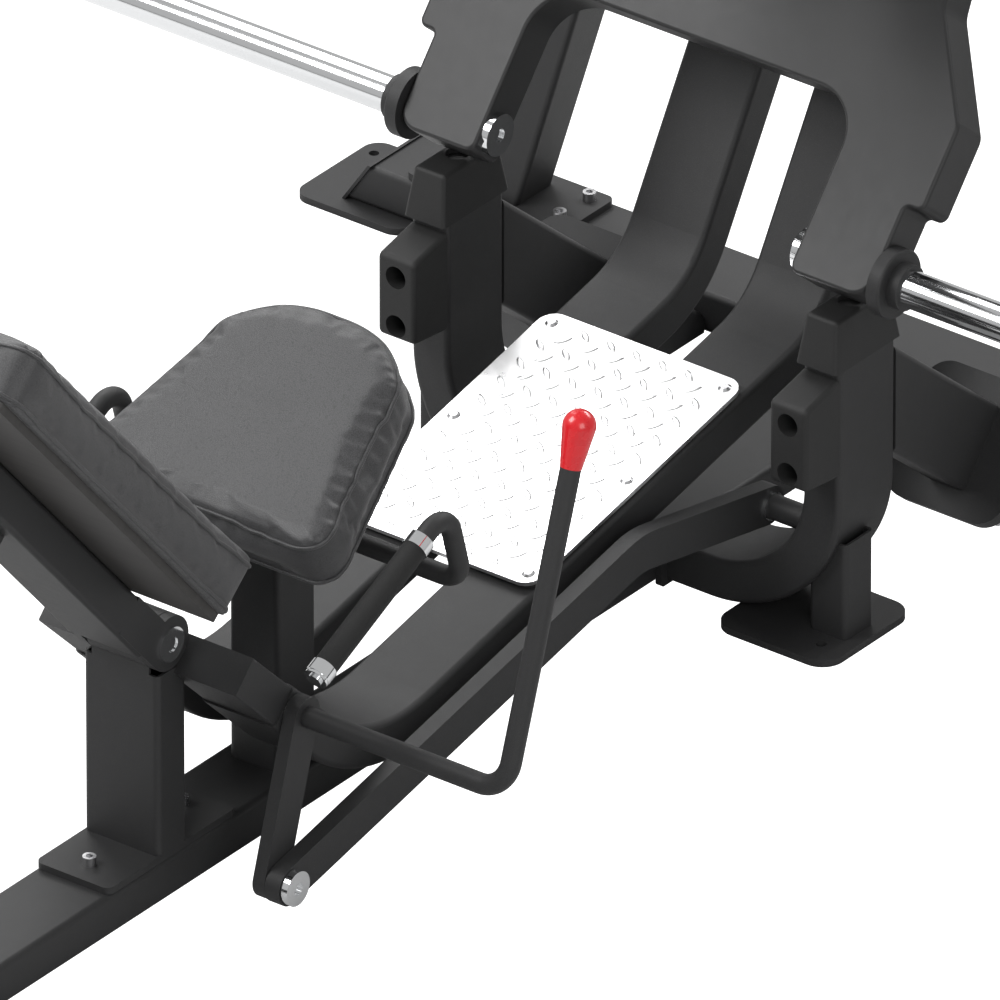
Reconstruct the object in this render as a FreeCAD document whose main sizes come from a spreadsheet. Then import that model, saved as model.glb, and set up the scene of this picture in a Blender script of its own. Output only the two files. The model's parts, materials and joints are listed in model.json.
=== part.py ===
import FreeCAD, Part
import math
import os
import re

from types import SimpleNamespace
from FreeCAD import Placement, Rotation, Vector

# Plate-loaded leg press. Millimetres. +X is the seated user's right, +Y runs from the
# backrest towards the rear cross beam, +Z is up. The origin is on the floor, in the
# middle of the machine's footprint.

doc = FreeCAD.newDocument("leg_press")
sheet = doc.addObject("Spreadsheet::Sheet", "Sizes")

# Driving sizes. Places along Y are measured from the upright arms' centre plane (uprightY).
SIZES = [
    # overall
    ("overallLength", 2384, "front foot's edge to the rear feet's edge"),
    ("beamSpan", 1754, "rear beam, length at the floor"),
    # tube stock
    ("tubeWide", 120, "large tube, wide side"),
    ("tubeThick", 60, "large tube, narrow side"),
    ("wall", 4, "large tube wall"),
    ("corner", 8, "large tube corner radius"),
    ("plate", 10, "foot and flange plate thickness"),
    # floor plates
    ("footSide", 180, "floor plate side"),
    ("footCorner", 25, "floor plate corner radius"),
    ("footHole", 7, "floor plate hole radius"),
    ("footHoleInset", 37, "hole centre to plate edge"),
    ("frontFootWide", 300, "front foot plate width"),
    ("sideFootSide", 188, "upright foot plate side"),
    ("sideFootCorner", 32, "upright foot plate corner radius"),
    ("sideHoleInset", 40, "upright foot hole centre to the plate's edges"),
    ("rearHoleInset", 22, "rear foot hole centre to the plate's outer edge"),
    ("rearHoleSetback", 32, "rear foot hole centre to the plate's rear edge"),
    # rear beam
    ("rearBeamFront", 489, "rear beam's front face"),
    ("mitre", 41, "rear beam end slope"),
    ("capProud", 3, "rear beam cap, proud of the tube"),
    ("rearFootX", 854, "rear foot centre"),
    # uprights
    ("uprightX", 317, "upright centre"),
    ("uprightTop", 430, "upright tube top"),
    ("bendInner", 150, "upright bend, inner radius"),
    ("uprightFootX", 272, "upright foot centre"),
    ("uprightFootY", -15, "upright foot centre, along Y"),
    ("postTop", 150, "foot post top"),
    ("flangeProud", 12, "flange past the tube"),
    # braces
    ("braceTilt", 40.2, "brace below horizontal, degrees"),
    ("braceTop", 321, "brace axis height at the upright"),
    ("braceLength", 244, "brace axis from upright to its plate"),
    ("bracePlate", 190, "brace plate side"),
    ("bracePlateCorner", 40, "brace plate corner radius"),
    ("braceBolt", 6, "brace bolt radius"),
    ("braceBoltPitch", 75, "brace bolt from the axis, sideways"),
    # rails
    ("railX", 102, "rail centre"),
    ("railTilt", 11.8, "rail slope under the tread, degrees"),
    ("railBack", 30.4, "rear stretch, from vertical, degrees"),
    ("railRise", 45, "front stretch above horizontal, degrees"),
    ("railRearCorner", 156, "rear corner of the centre line, Y"),
    ("railRearHeight", 303.6, "rear corner of the centre line, Z"),
    ("railRearBend", 155, "rear bend radius"),
    ("railFrontRun", 986, "centre line between its two corners"),
    ("railFrontBend", 250, "front bend radius"),
    ("railFrontRise", 246, "front corner to the tube's end"),
    ("headLength", 112, "rail head length"),
    ("headThick", 54, "rail head thickness"),
    ("headWide", 114, "rail head width"),
    # tread
    ("treadWide", 320, "tread plate width"),
    ("treadLong", 464, "tread plate length"),
    ("treadThick", 6, "tread plate thickness"),
    ("treadStart", 162, "rear corner to the tread's rear edge, along the rail"),
    ("treadCorner", 25, "tread corner radius"),
    ("spacer", 6, "rubber spacer under the tread"),
    ("spacerRadius", 14, "spacer radius"),
    ("screwRadius", 9, "tread screw head radius"),
    # front post and backrest hub
    ("postY", -1085, "front post centre"),
    ("postFlangeLong", 265, "front post flange along Y"),
    ("postBoltPitch", 192, "front post bolt spacing"),
    ("hubRadius", 38, "backrest hub radius"),
    ("hubHalf", 46, "backrest hub half length"),
    ("hubShaft", 15, "backrest shaft radius"),
    ("running", 0.06, "radial running clearance"),
    ("apart", 1, "gap between bodies"),
    ("earThick", 14, "backrest ear thickness"),
    ("capRadius", 24, "chrome cap radius"),
    ("capThick", 10, "chrome cap thickness"),
    ("backCapThick", 4, "backrest cap thickness"),
    # backrest
    ("backTilt", 41, "backrest from vertical, degrees"),
    ("backLong", 700, "backrest pad length"),
    ("backWide", 420, "backrest pad width"),
    ("backThick", 82, "backrest pad thickness"),
    ("backLow", 114, "hub to the pad's lower edge"),
    ("backSpine", 58, "backrest tube depth"),
    ("spineLow", 44, "hub to the backrest tube's lower end"),
    ("backOffset", 16, "backrest board in front of the hub axis"),
    ("board", 12, "board thickness"),
    ("braceFootY", -1645, "adjuster's lower pivot"),
    ("braceFootZ", 120, "adjuster's lower pivot height"),
    ("lugAlong", 430, "hub to the adjuster's upper pivot"),
    ("lugBehind", 78, "adjuster's upper pivot behind the hub axis"),
    ("sleeveSide", 50, "adjuster sleeve side"),
    ("innerSide", 40, "adjuster inner tube side"),
    ("sleeveLong", 330, "adjuster sleeve length"),
    ("innerLong", 380, "adjuster inner tube length"),
    ("eyeBore", 15, "adjuster's upper eye bore, loose on its pin"),
    ("lugPin", 9, "adjuster's upper pin radius"),
    ("footPin", 10, "adjuster's lower pin radius"),
    ("popPin", 6, "adjuster pull pin radius"),
    ("popPitch", 40, "adjuster hole spacing"),
    ("popHead", 20, "adjuster pull knob radius"),
    # seat
    ("seatTilt", 25, "seat slope, degrees"),
    ("seatFrontY", -718, "seat front corner"),
    ("seatFrontZ", 630, "seat front corner height"),
    ("seatHalf", 150, "seat half width at the front"),
    ("seatFlare", 13, "seat side flare, degrees"),
    ("seatLong", 285, "seat length along its slope"),
    ("seatNose", 67, "seat front bulge"),
    ("seatThick", 86, "seat pad thickness"),
    ("seatStem", 80, "seat stem side"),
    ("stemY", -800, "seat stem centre"),
    # side handles
    ("handleX", 265, "handle grip, from the centre"),
    ("handleY", -746, "handle crossbar"),
    ("handleZ", 388, "handle crossbar height"),
    ("handleRise", 124, "grip's rear end above the crossbar"),
    ("handleBack", 34, "grip's rear end in front of the crossbar"),
    ("handleRadius", 13.5, "handle tube radius"),
    ("handleBend", 34, "handle bend radius"),
    ("gripTilt", 25, "grip slope, degrees"),
    ("gripLong", 205, "grip sleeve length"),
    ("gripRadius", 16.5, "grip sleeve radius"),
    ("ringRadius", 18, "grip ring radius"),
    ("ringLong", 18, "grip ring length"),
    # release lever
    ("leverY", -964, "lever axis"),
    ("leverZ", 261, "lever axis height"),
    ("leverRod", 14, "lever rod radius"),
    ("leverReach", 500, "lever upright, from the centre"),
    ("leverLean", 18.3, "lever lean, degrees"),
    ("leverUp", 470, "lever upright length"),
    ("leverBend", 40, "lever bend radius"),
    ("knobRadius", 22, "knob radius"),
    ("knobLong", 78, "knob length"),
    ("knobSocket", 36, "knob base to the lever rod's end"),
    ("crankLong", 221, "crank length"),
    ("crankLean", 17, "crank lean, degrees"),
    ("crankWide", 52, "crank width"),
    ("crankThick", 19, "crank thickness"),
    ("linkThick", 23, "link thickness"),
    ("linkHigh", 54, "link height"),
    ("linkRun", 754, "link's long stretch"),
    ("linkTail", 277, "link's short stretch"),
    ("linkDrop", 11, "short stretch below horizontal, degrees"),
    ("pinRadius", 10, "link pin radius"),
    ("slidePin", 17, "slide pin radius"),
    ("slotRun", 50, "slide pin travel in its slot"),
    # press arm
    ("pivotShaft", 25, "press shaft radius"),
    ("pivotHub", 45, "press hub radius"),
    ("pivotHubHalf", 195, "press hub half length"),
    ("blockThick", 40, "bearing block thickness"),
    ("armTilt", 49.8, "arm above horizontal, degrees"),
    ("hornY", -3, "weight horn axis"),
    ("hornZ", 536, "weight horn axis height"),
    ("hornRadius", 25, "weight horn radius"),
    ("hornShank", 24, "weight horn radius inside the arm"),
    ("hornTip", 940, "weight horn tip from the centre"),
    ("coverDeep", 64, "arm cover depth"),
    ("sheetThick", 3, "arm cover sheet"),
    ("legOuter", 380, "arm leg outer face"),
    ("legInner", 255, "arm leg inner face"),
    ("coverHalf", 408, "arm cover half width"),
    ("coverNeck", 316, "arm cover half width at the neck"),
    ("webLow", 203, "web's lower edge above the horn"),
    ("coverTop", 500, "cover's top edge above the horn"),
    ("legLow", -36, "arm leg's lower end below the horn"),
    ("crossHigh", 100, "arm cross tube height"),
    ("spineWide", 50, "arm spine width"),
    ("hubAlong", 640, "horn axis to the press pivot, along the arm"),
    ("hubBehind", 38, "press pivot behind the arm's middle plane"),
    ("flangeRadius", 47, "horn flange radius"),
    ("flangeThick", 20, "horn flange thickness"),
    ("hornCollar", 31, "horn collar radius"),
    ("boomX", 110, "boom centre"),
    ("boomWide", 60, "boom width"),
    ("boomHigh", 100, "boom height"),
    ("boomLong", 800, "boom length from the pivot"),
    ("boomTilt", 13, "boom above horizontal, degrees"),
    ("footPlateWide", 640, "foot plate width"),
    ("footPlateHigh", 420, "foot plate height"),
    ("footPlateThick", 8, "foot plate thickness"),
    ("footPlateTilt", 50, "foot plate from vertical, degrees"),
    ("footPlateY", -400, "foot plate centre"),
    ("footPlateZ", 1195, "foot plate centre height"),
    # head
    ("headBeamHalf", 420, "head beam half length"),
    ("headBeamY", 510, "head beam centre"),
    ("headBeamZ", 895, "head beam centre height"),
    ("headBeamHigh", 80, "head beam height"),
    ("legSide", 80, "rear leg side"),
    ("legPlateLong", 262, "rear leg flange length"),
    ("legFootX", 652, "rear leg centre at its foot"),
    ("legFootY", 547, "rear leg centre at its foot, Y"),
    # stops
    ("stopTop", 484, "upright stop's top"),
    ("stopHigh", 70, "upright stop's height"),
    ("blockDeep", 71, "front stop's depth"),
    ("blockLow", 258, "front stop's low edge"),
    ("blockHigh", 144, "front stop's height"),
    ("blockBoltPitch", 72, "front stop bolt spacing"),
    ("boltHead", 9, "bolt head radius"),
    ("boltHeadHigh", 12, "bolt head height"),
    ("boltRecess", 16, "recess radius over a stop's bolt"),
    ("boltSetBack", 30, "stop's bolt face in front of the upright"),
]

# the uprights' centre plane, placed so that both ends are equally far from the origin
given = {alias: value for alias, value, _note in SIZES}
behind_uprights = given["rearBeamFront"] + given["tubeWide"] / 2 + given["footSide"] / 2
SIZES.append(("uprightY", given["overallLength"] / 2 - behind_uprights, "uprights' centre plane"))

for row, (alias, value, note) in enumerate(SIZES, start=1):
    sheet.set(f"A{row}", alias)
    sheet.set(f"B{row}", str(value))
    sheet.set(f"C{row}", note)
    sheet.setAlias(f"B{row}", alias)
doc.recompute()

ALIASES = {alias for alias, _value, _note in SIZES}
WORD = re.compile(r"[A-Za-z_]\w*")
s = SimpleNamespace(**{alias: float(sheet.get(alias)) for alias in ALIASES})
ACROSS, ALONG, UP = Vector(1, 0, 0), Vector(0, 1, 0), Vector(0, 0, 1)
TO_ACROSS = Rotation(ALONG, 90)     # turns a cylinder's axis to X
TO_ALONG = Rotation(ACROSS, -90)    # turns a cylinder's axis to Y
SIDE_PLANE = Rotation(Vector(1, 1, 1), 120)     # sketch x, y to Y, Z
FRONT_PLANE = Rotation(ACROSS, 90)              # sketch x, y to X, Z
nodes = {}


def sin(degrees):
    return math.sin(math.radians(degrees))


def cos(degrees):
    return math.cos(math.radians(degrees))


def bind(obj, prop, text):
    """Ties a property to an expression in the sheet's own words."""
    words = WORD.sub(lambda m: "Sizes." + m.group() if m.group() in ALIASES else m.group(), str(text))
    obj.setExpression(prop, words)


def place(obj, at, turn=None):
    obj.Placement = Placement(Vector(0, 0, 0), turn or Rotation())
    for axis, text in zip("xyz", at):
        bind(obj, "Placement.Base." + axis, text)
    return obj


def box(name, long, wide, high, at, turn=None):
    obj = doc.addObject("Part::Box", name)
    for prop, text in (("Length", long), ("Width", wide), ("Height", high)):
        bind(obj, prop, text)
    return place(obj, at, turn)


def rod(name, radius, long, at, turn=None):
    obj = doc.addObject("Part::Cylinder", name)
    bind(obj, "Radius", radius)
    bind(obj, "Height", long)
    return place(obj, at, turn)


def fuse(name, *pieces):
    obj = doc.addObject("Part::MultiFuse", name)
    obj.Shapes = list(pieces)
    obj.Refine = True
    return obj


def cut(name, base, *tools):
    obj = doc.addObject("Part::Cut", name)
    obj.Base = base
    obj.Tool = tools[0] if len(tools) == 1 else fuse(name + "_tools", *tools)
    return obj


def group(name, *pieces):
    """Separate solids that share one node."""
    obj = doc.addObject("Part::Compound", name)
    obj.Links = list(pieces)
    return obj


def mirrored(name, source):
    obj = doc.addObject("Part::Mirroring", name)
    obj.Source = source
    obj.Normal = ACROSS
    return obj


def rounded(name, base, radius, pick):
    """Fillet of the edges whose midpoint and direction pick() accepts."""
    doc.recompute()
    chosen = []
    for index, edge in enumerate(base.Shape.Edges, start=1):
        middle = edge.valueAt((edge.FirstParameter + edge.LastParameter) / 2)
        tangent = edge.tangentAt((edge.FirstParameter + edge.LastParameter) / 2)
        if pick(middle, tangent):
            chosen.append((index, radius, radius))
    obj = doc.addObject("Part::Fillet", name)
    obj.Base = base
    obj.Edges = chosen
    return obj


def runs(direction):
    """Edges parallel to a direction."""
    return lambda middle, tangent: abs(tangent.dot(direction)) > 0.999


def keep(label, obj):
    obj.Label = label
    nodes[label] = obj
    return obj


def pair(label, *pieces):
    """Right-hand pieces and their left-hand mirror images, as separate solids of one node."""
    right = group(label + "_right", *pieces)
    return keep(label, group(label, right, mirrored(label + "_mirror", right)))


def outline(name, points, turn, at=(0, 0, 0)):
    """Closed sketch through (x, y, corner radius) points."""
    sketch = doc.addObject("Sketcher::SketchObject", name)
    count = len(points)
    ends = []
    for index, (x, y, radius) in enumerate(points):
        here = Vector(x, y, 0)
        back = Vector(*points[index - 1][:2], 0) - here
        ahead = Vector(*points[(index + 1) % count][:2], 0) - here
        back.normalize()
        ahead.normalize()
        half = back.getAngle(ahead) / 2
        if radius:
            reach = radius / math.tan(half)
            toward = (back + ahead).normalize()
            centre = here + toward * (radius / math.sin(half))
            arc = Part.Arc(here + back * reach, centre - toward * radius, here + ahead * reach)
            sketch.addGeometry(arc, False)
            ends.append((here + back * reach, here + ahead * reach))
        else:
            ends.append((here, here))
    for index in range(count):
        start, end = ends[index][1], ends[(index + 1) % count][0]
        if (end - start).Length > 1e-6:
            sketch.addGeometry(Part.LineSegment(start, end), False)
    return place(sketch, at, turn)


def extrude(name, sketch, long, middle=True):
    obj = doc.addObject("Part::Extrusion", name)
    obj.Base = sketch
    obj.DirMode = "Normal"
    obj.Symmetric = middle
    obj.Solid = True
    bind(obj, "LengthFwd", long)
    return obj


def strip(line, half):
    """Outline of a bent bar: its centre line's (x, y, bend radius) points, offset both ways."""
    directions = [Vector(b[0] - a[0], b[1] - a[1], 0).normalize() for a, b in zip(line, line[1:])]
    sides = []
    for side in (half, -half):
        offset = []
        for index, (x, y, radius) in enumerate(line):
            before = directions[max(index - 1, 0)]
            after = directions[min(index, len(directions) - 1)]
            mean = (before + after).normalize()
            normal = Vector(-mean.y, mean.x, 0) * (side / mean.dot(after))
            bend = before.x * after.y - before.y * after.x
            inner = radius - side if bend > 0 else radius + side
            offset.append((x + normal.x, y + normal.y, inner if radius else 0))
        sides.append(offset)
    return sides[0] + sides[1][::-1]


def turned(degrees):
    return Rotation(ACROSS, degrees)


def value_of(alias):
    return getattr(s, alias) if isinstance(alias, str) else alias


def bar(name, long, wide, high, radius, direction=UP):
    """Rounded bar with its base at the origin: Length, Width centred, Height up."""
    solid = box(name + "_bar", long, wide, high, (f"-({long}) / 2", f"-({wide}) / 2", 0))
    return rounded(name + "_round", solid, value_of(radius), runs(direction)) if radius else solid


def tube(name, long, wide, high, radius="corner", wall="wall", direction=UP):
    """Hollow bar, open at both ends, base at the origin."""
    solid = bar(name, long, wide, high, radius, direction)
    hole = box(name + "_hole", f"({long}) - 2 * {wall}", f"({wide}) - 2 * {wall}", f"({high}) + 2",
               (f"-({long}) / 2 + {wall}", f"-({wide}) / 2 + {wall}", -1))
    return cut(name + "_tube", solid, hole)


def floor_plate(name, long, wide, thick, radius, holes, hole):
    """Plate with rounded corners on z = 0, centred, with holes at given points."""
    plate = bar(name, long, wide, thick, radius)
    drills = [rod(f"{name}_drill{i}", hole, f"({thick}) + 2", (x, y, -1)) for i, (x, y) in enumerate(holes)]
    return cut(name + "_plate", plate, *drills) if drills else plate


def moved(obj, at, turn=None):
    """Places a finished piece, which was made about the origin."""
    holder = doc.addObject("Part::Compound", obj.Name + "_at")
    holder.Links = [obj]
    return place(holder, at, turn)


def screw(name, radius, high, shank, depth):
    """Socket-head screw, its head's underside at z = 0, shank downward."""
    head = rod(name + "_head", radius, high, (0, 0, 0))
    socket = doc.addObject("Part::Prism", name + "_socket")
    socket.Polygon = 6
    bind(socket, "Circumradius", f"({radius}) * 0.55")
    bind(socket, "Height", high)
    place(socket, (0, 0, f"({high}) * 0.45"))
    return cut(name + "_cap", fuse(name + "_body", head, rod(name + "_shank", shank, depth,
               (0, 0, f"-({depth})"))), socket)


# ---------------------------------------------------------------- base
front_end = "plate - overallLength / 2"
base_long = "overallLength / 2 - plate + uprightY + rearBeamFront"

base = box("base_bar", "tubeWide", base_long, "tubeThick",
           ("-tubeWide / 2", front_end, "plate"))
base_hole = box("base_hole", "tubeWide - 2 * wall", f"{base_long} - 2 * wall",
                "tubeThick - 2 * wall", ("-tubeWide / 2 + wall", f"{front_end} + wall", "plate + wall"))
keep("base_beam", cut("base_tube", rounded("base_round", base, s.corner, runs(ALONG)), base_hole))

foot_grid = "footSide / 2 - footHoleInset"
front_foot = floor_plate("front_foot", "frontFootWide", "footSide", "plate", "footCorner",
                         [(f"{x} * (frontFootWide / 2 - footHoleInset)", f"{y} * ({foot_grid})")
                          for x in (-1, 1) for y in (-1, 1)], "footHole")
front_foot_at = moved(front_foot, (0, "footSide / 2 - overallLength / 2", 0))

rear_y = "uprightY + rearBeamFront + tubeWide / 2"
rear_bar = box("rear_bar", "beamSpan", "tubeWide", "tubeThick",
               ("-beamSpan / 2", "uprightY + rearBeamFront", "plate"))
end_x = s.beamSpan / 2
low = s.plate
high = s.plate + s.tubeThick
slope = s.mitre / s.tubeThick
wedge = [(end_x + slope, low - 1, 0), (end_x + 9, low - 1, 0), (end_x + 9, high + 1, 0),
         (end_x - s.mitre - slope, high + 1, 0)]
mitre_line = outline("mitre_line", wedge, FRONT_PLANE, (0, rear_y, 0))
mitre_right = extrude("mitre_right", mitre_line, "tubeWide + 2")
mitre_left = mirrored("mitre_left", mitre_right)
rear_hole = box("rear_hole", "beamSpan + 2", "tubeWide - 2 * wall", "tubeThick - 2 * wall",
                ("-beamSpan / 2 - 1", "uprightY + rearBeamFront + wall", "plate + wall"))
keep("rear_beam", cut("rear_tube", rounded("rear_round", rear_bar, s.corner, runs(ACROSS)),
                      rear_hole, mitre_right, mitre_left))

cap_line = [(end_x, low, 0), (end_x + 5, low, 0),
            (end_x - s.mitre - s.capProud * slope + 5, high + s.capProud, 0),
            (end_x - s.mitre - s.capProud * slope, high + s.capProud, 0)]
cap_sketch = outline("cap_line", cap_line, FRONT_PLANE, (0, rear_y, 0))
cap = extrude("rear_cap", cap_sketch, "tubeWide + 2 * capProud")

rear_foot = floor_plate("rear_foot", "footSide", "footSide", "plate", "footCorner",
                        [("footSide / 2 - rearHoleInset", "footSide / 2 - rearHoleSetback")], "footHole")
rear_foot_at = moved(rear_foot, ("rearFootX", rear_y, 0))

# uprights: each arm rises from a flange beside the base beam
out = s.uprightX + s.tubeThick / 2
inn = s.uprightX - s.tubeThick / 2
flange_x = s.tubeWide / 2 + s.plate


def upright_outline(name, inset, over):
    line = [(flange_x - over, low + inset, 0),
            (out - inset, low + inset, s.bendInner + s.tubeThick - inset),
            (out - inset, s.uprightTop + over, 0),
            (inn + inset, s.uprightTop + over, 0),
            (inn + inset, high - inset, s.bendInner + inset),
            (flange_x - over, high - inset, 0)]
    return outline(name, line, FRONT_PLANE, (0, "uprightY", 0))


upright_solid = extrude("upright_solid", upright_outline("upright_line", 0, 0), "tubeWide")


def upright_long_edges(middle, tangent):
    side = abs(abs(middle.y - s.uprightY) - s.tubeWide / 2) < 0.01
    return side and flange_x + 1 < middle.x and middle.z < s.uprightTop - 1


upright_bore = extrude("upright_bore", upright_outline("upright_bore_line", s.wall, 1), "tubeWide - 2 * wall")
pin_y = s.leverY - s.crankLong * sin(s.crankLean)
pin_z = s.leverZ - s.crankLong * cos(s.crankLean)
tail_y = pin_y + s.linkRun * cos(s.railTilt) + s.linkTail * cos(s.linkDrop)
tail_z = pin_z + s.linkRun * sin(s.railTilt) - s.linkTail * sin(s.linkDrop)
slot_front = tail_y - s.slidePin - 2
slot_rear = tail_y + s.slotRun + s.slidePin
slot_low = tail_z - s.slidePin - 12
slot_high = tail_z + s.slidePin + 3
slot_line = [(slot_front, slot_low, 8), (slot_front, slot_high, 8),
             (slot_rear, slot_high, 8), (slot_rear, slot_low, 8)]
slot = extrude("pin_slot", outline("slot_line", slot_line, SIDE_PLANE, ("uprightX - 40", "uprightY", 0)), 60)
upright_round = rounded("upright_round", upright_solid, s.corner, upright_long_edges)
keep("upright_right", cut("upright_right_tube", upright_round, upright_bore, slot))
keep("upright_left", mirrored("upright_left", cut("upright_plain_tube", upright_round, upright_bore)))

flange = bar("upright_flange", "tubeWide + 2 * flangeProud", "tubeThick + flangeProud", "plate", 6)
upright_flange = moved(flange, ("tubeWide / 2", "uprightY", "plate + tubeThick / 2 + 1"),
                       Rotation(Vector(1, 1, 1), 120))

post = tube("foot_post", "tubeThick", "tubeThick", "postTop - plate")
post_at = moved(post, ("uprightX", "uprightY + uprightFootY", "plate"))
pair("foot_posts", cut("foot_post_cut", post_at, upright_solid))
side_hole = "sideFootSide / 2 - sideHoleInset"
upright_foot = floor_plate("upright_foot", "sideFootSide", "sideFootSide", "plate", "sideFootCorner",
                           [(side_hole, f"-({side_hole})")], "footHole")
upright_foot_at = moved(upright_foot, ("uprightFootX", "uprightY + uprightFootY", 0))
side_feet = group("side_feet", rear_foot_at, upright_foot_at)
keep("floor_plates", group("floor_plates", front_foot_at, side_feet, mirrored("side_feet_left", side_feet)))

# braces: a stub with a plate behind each upright, bolted to a strut that ends on the rear beam
brace_turn = turned(-90 - s.braceTilt)     # local z to rearward and down
reach = s.tubeWide / 2 * math.tan(math.radians(s.braceTilt)) + 5
stub = tube("brace_stub", "tubeThick", "tubeWide", f"braceLength + {reach}")
brace_y = f"uprightY + tubeWide / 2 - {reach} * cos(braceTilt)"
brace_z = f"braceTop + {reach} * sin(braceTilt)"
stub_at = moved(stub, ("uprightX", brace_y, brace_z), brace_turn)
behind = box("brace_front_cut", "2 * tubeWide", "2 * tubeWide", "4 * tubeWide",
             ("uprightX - tubeWide", "uprightY + tubeWide / 2 - 2 * tubeWide", "braceTop - 2 * tubeWide"))
bolt_points = [(x * s.braceBoltPitch, y * s.braceBoltPitch) for x in (-1, 1) for y in (-1, 1)]


def brace_plate(name, along):
    plate_ = floor_plate(name, "bracePlate", "bracePlate", "plate", "bracePlateCorner", [], 1)
    return moved(plate_, ("uprightX", f"uprightY + tubeWide / 2 + ({along}) * cos(braceTilt)",
                          f"braceTop - ({along}) * sin(braceTilt)"), brace_turn)


pair("upright_braces", fuse("brace_joined", cut("brace_stub_cut", stub_at, behind),
                           brace_plate("brace_plate", "braceLength")))
strut = tube("strut", "tubeThick", "tubeWide", "2 * braceLength")
strut_at = moved(strut, ("uprightX", "uprightY + tubeWide / 2 + (braceLength + 2 * plate) * cos(braceTilt)",
                         "braceTop - (braceLength + 2 * plate) * sin(braceTilt)"), brace_turn)
under = box("strut_low_cut", "2 * tubeWide", "8 * tubeWide", "8 * tubeWide",
            ("uprightX - tubeWide", "uprightY", "plate - 8 * tubeWide"))
past = box("strut_back_cut", "2 * tubeWide", "8 * tubeWide", "4 * tubeWide",
           ("uprightX - tubeWide", "uprightY + rearBeamFront", "-tubeWide"))
pair("rear_struts", fuse("strut_joined", cut("strut_cut", strut_at, under, past),
                        brace_plate("strut_plate", "braceLength + plate")))
strut_bolts = [rod(f"strut_bolt{i}", "boltHead", "boltHeadHigh", (x, y, 0))
               for i, (x, y) in enumerate(bolt_points)]
strut_bolt_set = moved(group("strut_bolt_heads", *strut_bolts),
                       ("uprightX", "uprightY + tubeWide / 2 + (braceLength + 2 * plate) * cos(braceTilt)",
                        "braceTop - (braceLength + 2 * plate) * sin(braceTilt)"), brace_turn)

# ---------------------------------------------------------------- rails
back_y = sin(s.railBack)
back_z = cos(s.railBack)
run_y = cos(s.railTilt)
run_z = sin(s.railTilt)
rise_y = cos(s.railRise)
rise_z = sin(s.railRise)
corner1 = (s.railRearCorner, s.railRearHeight)
corner2 = (corner1[0] - s.railFrontRun * run_y, corner1[1] - s.railFrontRun * run_z)
seam = (corner2[0] - s.railFrontRise * rise_y, corner2[1] + s.railFrontRise * rise_z)
beam_low = s.headBeamZ - s.headBeamHigh / 2
climb = (beam_low - corner1[1]) / back_z
rail_top = (corner1[0] + climb * back_y, beam_low)


def rail_outline(name, half, over):
    start = (rail_top[0] + 60 * back_y, rail_top[1] + 60 * back_z, 0)
    end = (seam[0] - over * rise_y, seam[1] + over * rise_z, 0)
    line = [start, (*corner1, s.railRearBend), (*corner2, s.railFrontBend), end]
    return outline(name, strip(line, half), SIDE_PLANE, ("railX", "uprightY", 0))


rail_solid = extrude("rail_solid", rail_outline("rail_line", s.tubeThick / 2, 0), "tubeWide")
rail_bore = extrude("rail_bore", rail_outline("rail_bore_line", s.tubeThick / 2 - s.wall, 1),
                    "tubeWide - 2 * wall")
rail_lid = box("rail_lid", "2 * tubeWide", "4 * tubeWide", "tubeWide",
               ("railX - tubeWide", f"uprightY + {rail_top[0]} - 2 * tubeWide",
                "headBeamZ - headBeamHigh / 2"))


def rail_long_edges(middle, tangent):
    side = abs(abs(middle.x - s.railX) - s.tubeWide / 2) < 0.01
    from_seam = math.hypot(middle.y - s.uprightY - seam[0], middle.z - seam[1])
    return side and middle.z < beam_low + 40 and from_seam > s.tubeThick / 2 + 1


rail = cut("rail_tube", rounded("rail_round", rail_solid, s.corner, rail_long_edges), rail_bore, rail_lid)
keep("rail_left", mirrored("rail_left", rail))

head = bar("rail_head", "headWide", "headThick", "headLength", 3)
rise_turn = turned(90 - s.railRise)     # local z forward and up
rail_head = moved(head, ("railX", f"uprightY + {seam[0]}", f"{seam[1]}"), rise_turn)

# tread plate on rubber spacers
tread_mid = s.treadStart + s.treadLong / 2
tread_rise = s.tubeThick / 2 + s.spacer


def on_tread(along, above):
    """Point on the rails' straight stretch: distance from the rear corner and above the centre line."""
    return (corner1[0] - along * run_y - above * run_z, corner1[1] - along * run_z + above * run_y)


tread_at = on_tread(tread_mid, tread_rise)
tread_place = (0, f"uprightY + {tread_at[0]}", f"{tread_at[1]}")
tread_turn = turned(s.railTilt)
screw_inset = 20
corner_screws = [(x * (s.treadWide / 2 - screw_inset), y * (s.treadLong / 2 - screw_inset))
                 for x in (-1, 1) for y in (-1, 0, 1)]
tread = bar("tread_sheet", "treadWide", "treadLong", "treadThick", "treadCorner")
keep("tread_plate", moved(tread, tread_place, tread_turn))
spacers = [rod(f"tread_spacer{i}", "spacerRadius", "spacer", (x, y, "-spacer"))
           for i, (x, y) in enumerate(corner_screws)]
keep("tread_spacers", moved(group("spacer_set", *spacers), tread_place, tread_turn))
heads = []
for index, (x, y) in enumerate(corner_screws):
    dome = doc.addObject("Part::Cone", f"tread_screw{index}")
    bind(dome, "Radius1", "screwRadius")
    bind(dome, "Radius2", "screwRadius * 0.6")
    bind(dome, "Height", "screwRadius * 0.35")
    heads.append(place(dome, (x, y, "treadThick")))
keep("tread_screws", moved(group("screw_set", *heads), tread_place, tread_turn))

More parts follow.
